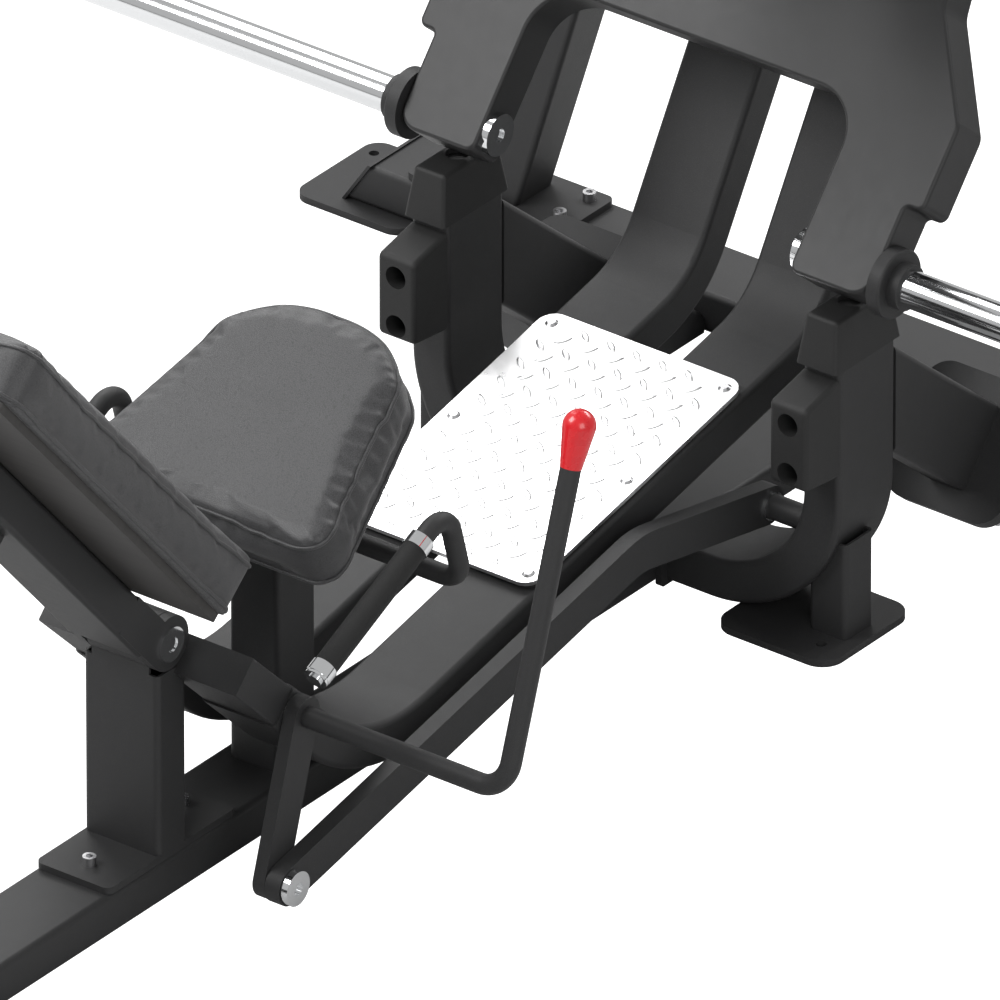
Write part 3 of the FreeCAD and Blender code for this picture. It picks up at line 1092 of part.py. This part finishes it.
bumper_front = bumper_rear - s.blockDeep
bumper_line = [(bumper_rear, s.blockLow, 0), (bumper_rear, s.blockLow + s.blockHigh, 0),
               (bumper_front, s.blockLow + s.blockHigh - 16, 10), (bumper_front, s.blockLow + 8, 10)]
bumper_sketch = outline("bumper_line", bumper_line, SIDE_PLANE, ("uprightX", "uprightY", 0))
bumper = extrude("bumper_blank", bumper_sketch, "tubeThick")


def bumper_edges(middle, _tangent):
    side = abs(abs(middle.x - s.uprightX) - s.tubeThick / 2) < 0.01
    return side and middle.y < s.uprightY + bumper_rear - 1


bumper_round = rounded("bumper_round", bumper, 7, bumper_edges)
bolt_z = [s.blockLow + s.blockHigh / 2 - 8 + side * s.blockBoltPitch / 2 for side in (-1, 1)]
bumper_at = s.uprightY + bumper_front
counterbores = [rod(f"bumper_bore{i}", "boltRecess", "blockDeep - boltSetBack",
                    ("uprightX", bumper_at, z), TO_ALONG)
                for i, z in enumerate(bolt_z)]
pair("front_stops", cut("front_stop", bumper_round, *counterbores))
bolt_at = bumper_at + s.blockDeep - s.boltSetBack - s.boltHeadHigh
stop_bolts = [rod(f"stop_bolt{i}", "boltHead", "boltHeadHigh", ("uprightX", bolt_at, z), TO_ALONG)
              for i, z in enumerate(bolt_z)]
stop_bolt_set = group("stop_bolt_set", *stop_bolts)
side_bolts = group("side_bolts", strut_bolt_set, leg_bolt_set, stop_bolt_set)
keep("frame_bolts", group("frame_bolt_set", *post_bolts, side_bolts, mirrored("side_bolts_left", side_bolts)))

# ---------------------------------------------------------------- checks and export
doc.recompute()
for obj in doc.Objects:
    if set(obj.State) & {"Invalid", "Error"}:
        raise RuntimeError(f"{obj.Name} failed: {obj.State}")
for label, obj in nodes.items():
    shape = obj.Shape
    if shape.isNull() or not shape.isValid() or not shape.Solids:
        raise RuntimeError(f"{label} has no valid solid")

os.makedirs("parts", exist_ok=True)
for label, obj in nodes.items():
    obj.Shape.exportStep(f"parts/{label}.step")
print(len(nodes), "parts")
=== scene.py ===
import json
import math
import bmesh
import bpy
from mathutils import Matrix, Vector


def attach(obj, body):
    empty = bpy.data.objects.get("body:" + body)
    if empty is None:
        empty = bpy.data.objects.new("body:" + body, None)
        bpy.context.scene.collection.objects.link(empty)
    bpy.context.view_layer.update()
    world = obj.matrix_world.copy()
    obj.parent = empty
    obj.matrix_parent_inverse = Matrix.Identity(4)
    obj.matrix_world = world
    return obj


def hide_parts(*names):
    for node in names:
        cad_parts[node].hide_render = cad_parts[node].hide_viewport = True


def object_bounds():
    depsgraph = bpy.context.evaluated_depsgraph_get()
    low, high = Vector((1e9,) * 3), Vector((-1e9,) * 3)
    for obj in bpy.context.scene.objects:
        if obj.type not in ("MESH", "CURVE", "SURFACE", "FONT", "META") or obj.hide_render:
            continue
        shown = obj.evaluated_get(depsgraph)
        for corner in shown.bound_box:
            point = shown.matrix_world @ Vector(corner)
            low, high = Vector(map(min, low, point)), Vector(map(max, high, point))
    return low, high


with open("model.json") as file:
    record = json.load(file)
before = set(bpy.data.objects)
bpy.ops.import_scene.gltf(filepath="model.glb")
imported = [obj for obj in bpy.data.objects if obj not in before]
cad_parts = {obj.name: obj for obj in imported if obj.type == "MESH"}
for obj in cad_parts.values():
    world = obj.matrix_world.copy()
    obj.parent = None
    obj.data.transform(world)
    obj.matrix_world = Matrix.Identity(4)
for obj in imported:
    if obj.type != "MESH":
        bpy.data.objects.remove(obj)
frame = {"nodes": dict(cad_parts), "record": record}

scene = bpy.context.scene
cadLow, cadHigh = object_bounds()
nodes = frame["nodes"]


# small helpers

def addMesh(name, verts, faces, smooth=True):
    mesh = bpy.data.meshes.new(name)
    mesh.from_pydata([tuple(v) for v in verts], [], faces)
    mesh.validate()
    mesh.polygons.foreach_set("use_smooth", [smooth] * len(mesh.polygons))
    obj = bpy.data.objects.new(name, mesh)
    scene.collection.objects.link(obj)
    return obj


def paint(obj, material):
    obj.data.materials.clear()
    obj.data.materials.append(material)
    return obj


def applyAll(obj):
    # bakes every modifier into the mesh
    graph = bpy.context.evaluated_depsgraph_get()
    done = bpy.data.meshes.new_from_object(obj.evaluated_get(graph))
    obj.modifiers.clear()
    obj.data = done


# shader groups: each puts out masks or values, and is placed in many materials

def newGroup(name, inputs, outputs):
    group = bpy.data.node_groups.new(name, "ShaderNodeTree")
    for label, kind, value in inputs:
        socket = group.interface.new_socket(name=label, in_out="INPUT", socket_type=kind)
        if value is not None:
            socket.default_value = value
    for label, kind in outputs:
        group.interface.new_socket(name=label, in_out="OUTPUT", socket_type=kind)
    return group, group.nodes.new("NodeGroupInput"), group.nodes.new("NodeGroupOutput")


def nodeMaker(tree):
    def make(kind, links=(), **values):
        node = tree.nodes.new("ShaderNode" + kind)
        for key, value in values.items():
            if key.startswith("in_"):
                node.inputs[key[3:].replace("_", " ")].default_value = value
            else:
                setattr(node, key, value)
        for socket, source in dict(links).items():
            tree.links.new(source, node.inputs[socket])
        return node
    return make


def makeGrainGroup():
    # fine orange-peel grain of powder coat: a height and a speckle mask
    floatIn = "NodeSocketFloat"
    group, start, end = newGroup("powderGrain",
                                 [("Scale", floatIn, 900.0), ("Coarse Scale", floatIn, 60.0)],
                                 [("Height", floatIn), ("Speckle", floatIn), ("Patch", floatIn)])
    make = nodeMaker(group)
    place = make("TexCoord").outputs["Object"]
    fine = make("TexNoise", {"Vector": place, "Scale": start.outputs["Scale"]}, in_Detail=2.0,
                in_Roughness=0.6)
    speck = make("TexVoronoi", {"Vector": place, "Scale": start.outputs["Scale"]}, feature="F1")
    patch = make("TexNoise", {"Vector": place, "Scale": start.outputs["Coarse Scale"]}, in_Detail=3.0)
    bright = make("MapRange", {"Value": fine.outputs["Fac"]}, in_From_Min=0.52, in_From_Max=0.72)
    dots = make("MapRange", {"Value": speck.outputs["Distance"]}, in_From_Min=0.45, in_From_Max=0.1)
    both = make("Math", {0: fine.outputs["Fac"], 1: dots.outputs["Result"]}, operation="ADD")
    group.links.new(both.outputs[0], end.inputs["Height"])
    group.links.new(bright.outputs["Result"], end.inputs["Speckle"])
    group.links.new(patch.outputs["Fac"], end.inputs["Patch"])
    return group


def makeLeatherGroup():
    # embossed vinyl grain: cells with soft creases, whose mask also paints shade into the colour along the
    # creases
    floatIn = "NodeSocketFloat"
    group, start, end = newGroup("vinylGrain", [("Scale", floatIn, 420.0)],
                                 [("Height", floatIn), ("Crease Shade", floatIn)])
    make = nodeMaker(group)
    place = make("TexCoord").outputs["Object"]
    wobble = make("TexNoise", {"Vector": place}, in_Scale=90.0, in_Detail=2.0)
    scaled = make("VectorMath", {0: wobble.outputs["Color"]}, operation="SCALE", in_Scale=0.002)
    shifted = make("VectorMath", {0: place, 2: scaled.outputs[0]}, operation="MULTIPLY_ADD")
    shifted.inputs[1].default_value = (1, 1, 1)
    cells = make("TexVoronoi", {"Vector": shifted.outputs[0], "Scale": start.outputs["Scale"]},
                 feature="DISTANCE_TO_EDGE")
    crease = make("MapRange", {"Value": cells.outputs["Distance"]}, in_From_Max=0.18)
    group.links.new(crease.outputs["Result"], end.inputs["Height"])
    group.links.new(crease.outputs["Result"], end.inputs["Crease Shade"])
    return group


grainGroup = makeGrainGroup()
leatherGroup = makeLeatherGroup()


def newMaterial(name):
    material = bpy.data.materials.new(name)
    material.use_nodes = True
    shader = material.node_tree.nodes["Principled BSDF"]
    return material, shader, nodeMaker(material.node_tree), material.node_tree.links


def mixColour(make, links, mask, dark, light):
    mix = make("Mix", data_type="RGBA")
    mix.inputs["A"].default_value = (*dark, 1)
    mix.inputs["B"].default_value = (*light, 1)
    links.new(mask, mix.inputs["Factor"])
    return mix.outputs["Result"]


def addBump(make, links, shader, height, strength, distance):
    bump = make("Bump", in_Strength=strength, in_Distance=distance)
    links.new(height, bump.inputs["Height"])
    links.new(bump.outputs["Normal"], shader.inputs["Normal"])


def coatedMetal(name, look):
    material, shader, make, links = newMaterial(name)
    grain = make("Group", node_tree=grainGroup)
    grain.inputs["Scale"].default_value = look["grain"]
    colour = mixColour(make, links, grain.outputs["Speckle"], look["dark"], look["light"])
    rough = make("MapRange", {"Value": grain.outputs["Patch"]}, in_To_Min=look["rough"] - look["uneven"],
                 in_To_Max=look["rough"] + look["uneven"])
    links.new(colour, shader.inputs["Base Color"])
    links.new(rough.outputs["Result"], shader.inputs["Roughness"])
    shader.inputs["Specular IOR Level"].default_value = look["shine"]
    addBump(make, links, shader, grain.outputs["Height"], look["bump"], 0.0004)
    return material


frameCoatLook = {"dark": (0.018, 0.018, 0.0185), "light": (0.034, 0.034, 0.035), "grain": 1100.0,
                 "rough": 0.55, "uneven": 0.03, "shine": 0.42, "bump": 0.30}
coverCoatLook = {"dark": (0.018, 0.018, 0.0185), "light": (0.024, 0.024, 0.0245), "grain": 1500.0,
                 "rough": 0.46, "uneven": 0.03, "shine": 0.40, "bump": 0.08}
frameCoat = coatedMetal("frameCoat", frameCoatLook)
coverCoat = coatedMetal("coverCoat", coverCoatLook)

rubberLook = {"dark": (0.014, 0.014, 0.014), "light": (0.026, 0.026, 0.026), "grain": 1300.0, "rough": 0.60,
              "uneven": 0.03, "shine": 0.38, "bump": 0.20}
stopRubber = coatedMetal("stopRubber", rubberLook)
gripLook = dict(rubberLook, dark=(0.010, 0.010, 0.010), light=(0.022, 0.022, 0.022), rough=0.72, grain=2200.0,
                bump=0.4)
gripRubber = coatedMetal("gripRubber", gripLook)
blackPlastic = coatedMetal("blackPlastic", dict(rubberLook, rough=0.38, bump=0.12))


def vinyl():
    look = {"dark": (0.016, 0.016, 0.017), "light": (0.042, 0.042, 0.044), "rough": 0.44, "bump": 0.28}
    material, shader, make, links = newMaterial("padVinyl")
    grain = make("Group", node_tree=leatherGroup)
    patch = make("TexNoise", {"Vector": make("TexCoord").outputs["Object"]}, in_Scale=14.0, in_Detail=3.0)
    # the colour is darker along the grain's creases: painted shade
    colour = mixColour(make, links, grain.outputs["Crease Shade"], look["dark"], look["light"])
    links.new(colour, shader.inputs["Base Color"])
    rough = make("MapRange", {"Value": patch.outputs["Fac"]}, in_To_Min=look["rough"] - 0.05,
                 in_To_Max=look["rough"] + 0.08)
    links.new(rough.outputs["Result"], shader.inputs["Roughness"])
    shader.inputs["Sheen Weight"].default_value = 0.12
    addBump(make, links, shader, grain.outputs["Height"], look["bump"], 0.0005)
    return material


def metal(name, colour, rough, streak, bump):
    # turned or polished bare metal with faint streaks
    material, shader, make, links = newMaterial(name)
    place = make("Mapping", {"Vector": make("TexCoord").outputs["Object"]}, in_Scale=streak)
    lines = make("TexNoise", {"Vector": place.outputs[0]}, in_Scale=40.0, in_Detail=4.0)
    smear = make("MapRange", {"Value": lines.outputs["Fac"]}, in_To_Min=rough * 0.6, in_To_Max=rough * 1.5)
    shade = make("MapRange", {"Value": lines.outputs["Fac"]}, in_To_Min=0.0, in_To_Max=1.0)
    dark = tuple(c * 0.93 for c in colour)
    links.new(mixColour(make, links, shade.outputs["Result"], dark, colour), shader.inputs["Base Color"])
    links.new(smear.outputs["Result"], shader.inputs["Roughness"])
    shader.inputs["Metallic"].default_value = 1.0
    addBump(make, links, shader, lines.outputs["Fac"], bump, 0.0002)
    return material


def plastic(name, dark, light, rough):
    material, shader, make, links = newMaterial(name)
    grain = make("Group", node_tree=grainGroup)
    links.new(mixColour(make, links, grain.outputs["Patch"], dark, light), shader.inputs["Base Color"])
    smear = make("MapRange", {"Value": grain.outputs["Patch"]}, in_To_Min=rough - 0.05,
                 in_To_Max=rough + 0.08)
    links.new(smear.outputs["Result"], shader.inputs["Roughness"])
    shader.inputs["Coat Weight"].default_value = 0.3
    addBump(make, links, shader, grain.outputs["Patch"], 0.08, 0.0003)
    return material


def painted(name, dark, light):
    material, shader, make, links = newMaterial(name)
    place = make("Mapping", {"Vector": make("TexCoord").outputs["Object"]}, in_Scale=(1, 14, 14))
    rings = make("TexNoise", {"Vector": place.outputs[0]}, in_Scale=6.0, in_Detail=6.0)
    links.new(mixColour(make, links, rings.outputs["Fac"], dark, light), shader.inputs["Base Color"])
    shader.inputs["Roughness"].default_value = 0.6
    addBump(make, links, shader, rings.outputs["Fac"], 0.15, 0.0005)
    return material


padVinyl = vinyl()
chrome = metal("chrome", (0.86, 0.87, 0.88), 0.09, (0.3, 1, 1), 0.01)
brightTread = metal("brightTread", (0.93, 0.93, 0.935), 0.30, (1, 1, 1), 0.08)
zincSteel = metal("zincSteel", (0.62, 0.62, 0.63), 0.28, (1, 1, 1), 0.05)
redPlastic = plastic("redPlastic", (0.56, 0.004, 0.010), (0.68, 0.010, 0.016), 0.26)
whiteNylon = plastic("whiteNylon", (0.62, 0.62, 0.60), (0.72, 0.72, 0.70), 0.45)
padBoard = painted("padBoard", (0.018, 0.017, 0.016), (0.045, 0.042, 0.040))

finishes = {"frame_coat": frameCoat, "cover_coat": coverCoat, "stop_rubber": stopRubber,
            "grip_rubber": gripRubber, "vinyl": padVinyl, "plywood": padBoard, "chrome": chrome,
            "bright_tread": brightTread, "zinc_steel": zincSteel, "nylon": whiteNylon,
            "black_plastic": blackPlastic, "red_plastic": redPlastic}
for entry in frame["record"]["subparts"]:
    paint(nodes[entry["node"]], finishes[entry["material_slot"]])
print("materials placed")


def topFace(node, facing):
    # the largest flat side of a node that looks towards facing: centre, normal, two axes, its points
    mesh = nodes[node].data
    sums = {}
    for face in mesh.polygons:
        key = tuple(round(c, 2) for c in face.normal)
        if face.normal.dot(facing) > 0.3:
            sums.setdefault(key, []).append(face)
    faces = max(sums.values(), key=lambda some: sum(f.area for f in some))
    normal = faces[0].normal.copy()
    points = [mesh.vertices[i].co.copy() for i in sorted({i for f in faces for i in f.vertices})]
    across = (Vector((1, 0, 0)) - normal * normal.x).normalized()
    along = normal.cross(across)
    level = max(p.dot(normal) for p in points)
    low = Vector((min(p.dot(across) for p in points), min(p.dot(along) for p in points)))
    high = Vector((max(p.dot(across) for p in points), max(p.dot(along) for p in points)))
    middle = (low + high) / 2
    centre = across * middle.x + along * middle.y + normal * level
    return {"centre": centre, "normal": normal, "across": across, "along": along, "half": (high - low) / 2,
            "faces": [f.index for f in faces]}


def rimLoop(node, faceIndices):
    # the boundary of a flat side, in order
    mesh = nodes[node].data
    wanted = set(faceIndices)
    count = {}
    for index in wanted:
        corners = list(mesh.polygons[index].vertices)
        for a, b in zip(corners, corners[1:] + corners[:1]):
            pa, pb = (tuple(round(c, 6) for c in mesh.vertices[i].co) for i in (a, b))
            if (pb, pa) in count:
                del count[(pb, pa)]
            else:
                count[(pa, pb)] = True
    following = dict(count.keys())
    start = next(iter(following))
    loop, here = [start], following[start]
    while here != start:
        loop.append(here)
        here = following[here]
    return [Vector(p) for p in loop]


def evenLoop(points, step):
    # the same closed line with evenly spaced points
    closed = points + [points[0]]
    lengths = [0.0]
    for a, b in zip(closed, closed[1:]):
        lengths.append(lengths[-1] + (b - a).length)
    total = lengths[-1]
    count = max(12, round(total / step))
    result, index = [], 0
    for i in range(count):
        want = total * i / count
        while lengths[index + 1] < want:
            index += 1
        part = (want - lengths[index]) / (lengths[index + 1] - lengths[index])
        result.append(closed[index].lerp(closed[index + 1], part))
    return result


# raised lenses on the tread and foot plates

lensLook = {"long": 0.0285, "wide": 0.0092, "high": 0.0011, "pitch": 0.042, "turn": -38.0, "margin": 0.012,
            "cornerRoom": 0.028, "screwRoom": 0.030}


def lensMesh(place, angle, look, verts, faces):
    steps = 8
    half, side = look["long"] / 2, look["wide"] / 2
    turns = [math.pi * i / steps for i in range(steps + 1)]
    outline = [(half * math.cos(turned), side * math.sin(turned) ** 1.3) for turned in turns]
    outline += [(x, -y) for x, y in reversed(outline[1:-1])]
    first = len(verts)
    turn = Matrix.Rotation(angle, 2)
    for scale, height in ((1.0, -0.0001), (0.82, look["high"] * 0.72), (0.45, look["high"])):
        for x, y in outline:
            spot = turn @ Vector((x * scale, y * scale))
            verts.append(place["centre"] + place["across"] * (place["u"] + spot.x)
                         + place["along"] * (place["v"] + spot.y) + place["normal"] * height)
    ring = len(outline)
    for level in range(2):
        for i in range(ring):
            a, b = first + level * ring + i, first + level * ring + (i + 1) % ring
            faces.append((a, b, b + ring, a + ring))
    faces.append(tuple(range(first + 2 * ring, first + 3 * ring)))


def raisedLenses(node, facing, body, name, screws):
    plane = topFace(node, facing)
    look = lensLook
    verts, faces = [], []
    halfU, halfV = plane["half"] - Vector((look["margin"], look["margin"]))
    columns, rows = int(halfU / look["pitch"]) + 1, int(halfV / look["pitch"]) + 1
    for i in range(-2 * columns, 2 * columns + 1):
        for j in range(-2 * rows, 2 * rows + 1):
            if (i + j) % 2:
                continue
            u, v = i * look["pitch"] / 2, j * look["pitch"] / 2
            angle = math.radians(look["turn"] if i % 2 == 0 else look["turn"] + 90)
            reachU = abs(math.cos(angle)) * look["long"] / 2
            reachV = abs(math.sin(angle)) * look["long"] / 2
            corner = (halfU - abs(u)) + (halfV - abs(v)) < look["cornerRoom"]
            if abs(u) + reachU > halfU or abs(v) + reachV > halfV or corner:
                continue
            spot = plane["centre"] + plane["across"] * u + plane["along"] * v
            if any((spot - screw).length < look["screwRoom"] for screw in screws):
                continue
            lensMesh(dict(plane, u=u, v=v), angle, look, verts, faces)
    obj = paint(addMesh(name, verts, faces), brightTread)
    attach(obj, body)


def solidCentres(node):
    # middle of each separate solid of a node
    mesh = bmesh.new()
    mesh.from_mesh(nodes[node].data)
    bmesh.ops.remove_doubles(mesh, verts=mesh.verts, dist=1e-5)
    centres, seen = [], set()
    for vert in mesh.verts:
        if vert.index in seen:
            continue
        stack, group = [vert], []
        seen.add(vert.index)
        while stack:
            here = stack.pop()
            group.append(here.co.copy())
            for edge in here.link_edges:
                other = edge.other_vert(here)
                if other.index not in seen:
                    seen.add(other.index)
                    stack.append(other)
        low = Vector([min(p[k] for p in group) for k in range(3)])
        high = Vector([max(p[k] for p in group) for k in range(3)])
        centres.append((low + high) / 2)
    mesh.free()
    return centres


raisedLenses("tread_plate", Vector((0, 0, 1)), "frame", "treadLenses", solidCentres("tread_screws"))
raisedLenses("foot_plate", Vector((0, -1, -0.5)), "press_arm", "footLenses", [])
print("lenses raised")


# padded seat and backrest: lengths in metres

padLook = {"voxel": 0.006, "pressure": 4.0, "cap": 0.009, "shrink": 0.006, "smooth": 6, "bead": 0.0028,
           "topDrop": 0.010, "lowLift": 0.008, "beadStep": 0.006, "beadOut": 0.25, "relax": 0.6, "frames": 20,
           "lowShare": 3, "dome": 0.45, "fill": 0.85}


def swellPad(node, name, look):
    source = nodes[node]
    pad = bpy.data.objects.new(name, source.data.copy())
    scene.collection.objects.link(pad)
    plane = topFace(node, Vector((0, 0.5, 1)))
    normal, level = plane["normal"], plane["centre"].dot(plane["normal"])
    deep = level - min(v.co.dot(normal) for v in pad.data.vertices)
    middle = plane["centre"] - normal * deep / 2
    for vert in pad.data.vertices:
        # pulled in sideways only, so that the swelling ends at the design's outline
        offset = vert.co - middle
        flat = offset - normal * offset.dot(normal)
        reach = max(flat.length, 0.001)
        vert.co -= flat * (look["shrink"] / reach)
    remesh = pad.modifiers.new("remesh", "REMESH")
    remesh.mode = "VOXEL"
    remesh.voxel_size = look["voxel"]
    relax = pad.modifiers.new("relax", "SMOOTH")
    relax.iterations = look["smooth"]
    relax.factor = look["relax"]
    applyAll(pad)
    before = [v.co.copy() for v in pad.data.vertices]
    cloth = pad.modifiers.new("cloth", "CLOTH")
    settings = cloth.settings
    settings.quality = 4
    settings.mass = 0.4
    settings.tension_stiffness = 24
    settings.compression_stiffness = 24
    settings.shear_stiffness = 16
    settings.bending_stiffness = 2.5
    settings.use_pressure = True
    settings.uniform_pressure_force = look["pressure"]
    settings.effector_weights.gravity = 0
    cloth.collision_settings.use_collision = False
    for number in range(1, look["frames"] + 1):
        scene.frame_set(number)
    applyAll(pad)
    scene.frame_set(1)
    for vert, start in zip(pad.data.vertices, before):
        move = vert.co - start
        height = (start.dot(normal) - level + deep) / deep
        # the side on the board stays flat
        cap = look["cap"] * min(1.0, max(0.0, height * look["lowShare"]))
        if move.length > cap:
            move *= cap / max(move.length, 1e-9)
        outward = move.dot(normal)
        if outward > 0:
            move -= normal * outward * look["dome"]
        vert.co = start + move
    pad.data.polygons.foreach_set("use_smooth", [True] * len(pad.data.polygons))
    finer = pad.modifiers.new("finer", "SUBSURF")
    finer.levels = finer.render_levels = 1
    applyAll(pad)
    pad.data.polygons.foreach_set("use_smooth", [True] * len(pad.data.polygons))
    return pad, plane, deep


def tube(name, points, radius, material, closed=True):
    curve = bpy.data.curves.new(name, "CURVE")
    curve.dimensions = "3D"
    curve.bevel_depth = radius
    curve.bevel_resolution = 2
    spline = curve.splines.new("POLY")
    spline.points.add(len(points) - 1)
    for point, co in zip(spline.points, points):
        point.co = (*co, 1)
    spline.use_cyclic_u = closed
    obj = bpy.data.objects.new(name, curve)
    scene.collection.objects.link(obj)
    mesh = bpy.data.meshes.new_from_object(obj.evaluated_get(bpy.context.evaluated_depsgraph_get()))
    bpy.data.objects.remove(obj)
    mesh.polygons.foreach_set("use_smooth", [True] * len(mesh.polygons))
    made = bpy.data.objects.new(name, mesh)
    scene.collection.objects.link(made)
    return paint(made, material)


def dressPad(node, name, body, look):
    pad, plane, deep = swellPad(node, name, look)
    paint(pad, padVinyl)
    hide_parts(node)
    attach(pad, body)
    rim = evenLoop(rimLoop(node, plane["faces"]), look["beadStep"])
    for label, drop in (("TopBead", look["topDrop"]), ("LowBead", deep - look["lowLift"])):
        line = []
        for point in rim:
            aim = point - plane["normal"] * drop
            _, spot, outward, _ = pad.closest_point_on_mesh(aim)
            line.append(spot + outward * look["bead"] * look["beadOut"])
        soft = [(line[i - 1] + line[i] * 2 + line[(i + 1) % len(line)]) / 4 for i in range(len(line))]
        bead = tube(name + label, soft, look["bead"], padVinyl)
        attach(bead, body)
    print(name, "stuffed")


dressPad("seat_pad", "seatPad", "frame", padLook)
dressPad("backrest_pad", "backPad", "backrest", dict(padLook, cap=0.012))


# softened edges on the steel, so that they catch the light

edgeLook = {"width": 0.0012, "angle": 38.0}
softEdged = ["arm_cover", "floor_plates", "weld_plates", "upright_braces", "rear_struts", "front_post",
             "rail_heads", "rear_beam", "beam_caps", "foot_plate", "tread_plate", "bearing_blocks",
             "lever_crank", "release_link", "foot_posts", "booms", "foot_bars", "backrest_frame",
             "adjuster_bracket", "seat_board", "backrest_board"]
for nodeName in softEdged:
    bevel = nodes[nodeName].modifiers.new("softEdge", "BEVEL")
    bevel.width = edgeLook["width"]
    bevel.segments = 2
    bevel.limit_method = "ANGLE"
    bevel.angle_limit = math.radians(edgeLook["angle"])
    bevel.harden_normals = False
print("edges softened")


# floor, light and camera

stageLook = {"floor": (0.55, 0.55, 0.55), "floorHalf": 30, "under": 0.0005, "sky": 0.50, "seen": 1.6}
lightLooks = {
    "keyLight": {"place": (-2.4, -2.6, 4.2), "aim": (0, 0, 0.4), "size": (2.6, 2.6), "power": 210.0},
    "fillLight": {"place": (3.6, -2.2, 2.4), "aim": (0, 0, 0.4), "size": (2.2, 2.2), "power": 60.0},
    "rimLight": {"place": (0.5, 4.2, 3.4), "aim": (0, 0.2, 0.4), "size": (3.0, 1.4), "power": 110.0},
    "topLight": {"place": (-2.6, 2.1, 3.7), "aim": (0, 0.1, 0.3), "size": (2.8, 2.8), "power": 130.0},
}


def seenAndLit(tree, seen, lit):
    # one shader for what the camera sees and another for the light that reaches the object
    path = tree.nodes.new("ShaderNodeLightPath")
    mix = tree.nodes.new("ShaderNodeMixShader")
    tree.links.new(path.outputs["Is Camera Ray"], mix.inputs["Fac"])
    tree.links.new(lit.outputs[0], mix.inputs[1])
    tree.links.new(seen.outputs[0], mix.inputs[2])
    return mix


def setStage(look):
    half = look["floorHalf"]
    corners = [(-half, -half, 0), (half, -half, 0), (half, half, 0), (-half, half, 0)]
    floor = addMesh("floor", corners, [(0, 1, 2, 3)], smooth=False)
    floor.location.z = cadLow.z - look["under"]
    material, shader, make, links = newMaterial("floorPaper")
    shader.inputs["Base Color"].default_value = (*look["floor"], 1)
    shader.inputs["Roughness"].default_value = 0.9
    paper = make("Emission", in_Strength=look["seen"])
    mix = seenAndLit(material.node_tree, paper, shader)
    links.new(mix.outputs[0], material.node_tree.nodes["Material Output"].inputs["Surface"])
    paint(floor, material)
    world = bpy.data.worlds.new("studio")
    scene.world = world
    world.use_nodes = True
    tree = world.node_tree
    sky = tree.nodes["Background"]
    sky.inputs["Color"].default_value = (1, 1, 1, 1)
    sky.inputs["Strength"].default_value = look["sky"]
    backdrop = tree.nodes.new("ShaderNodeBackground")
    backdrop.inputs["Color"].default_value = (1, 1, 1, 1)
    backdrop.inputs["Strength"].default_value = look["seen"]
    tree.links.new(seenAndLit(tree, backdrop, sky).outputs[0], tree.nodes["World Output"].inputs["Surface"])
    scene.view_settings.view_transform = "Standard"


def addLight(name, look):
    data = bpy.data.lights.new(name, "AREA")
    data.shape = "RECTANGLE"
    data.size, data.size_y = look["size"]
    data.energy = look["power"]
    obj = bpy.data.objects.new(name, data)
    scene.collection.objects.link(obj)
    obj.location = look["place"]
    towards = Vector(look["aim"]) - Vector(look["place"])
    obj.rotation_euler = towards.to_track_quat("-Z", "Y").to_euler()


cameraLook = {"azimuth": 37.49, "elevation": 29.64, "lens": 1500.0, "sensor": 36, "distance": 53.5,
              "near": 1.0, "far": 200.0, "aim": (0.0, 0.230, 0.225)}


def setCamera(look):
    data = bpy.data.cameras.new("camera")
    data.lens = look["lens"]
    data.sensor_width = look["sensor"]
    data.clip_start, data.clip_end = look["near"], look["far"]
    camera = bpy.data.objects.new("camera", data)
    scene.collection.objects.link(camera)
    a, e = math.radians(look["azimuth"]), math.radians(look["elevation"])
    back = Vector((math.sin(a) * math.cos(e), -math.cos(a) * math.cos(e), math.sin(e)))
    camera.location = Vector(look["aim"]) + back * look["distance"]
    camera.rotation_euler = (-back).to_track_quat("-Z", "Y").to_euler()
    scene.camera = camera


setStage(stageLook)
for lightName, lightLook in lightLooks.items():
    addLight(lightName, lightLook)
setCamera(cameraLook)

print("camera set")
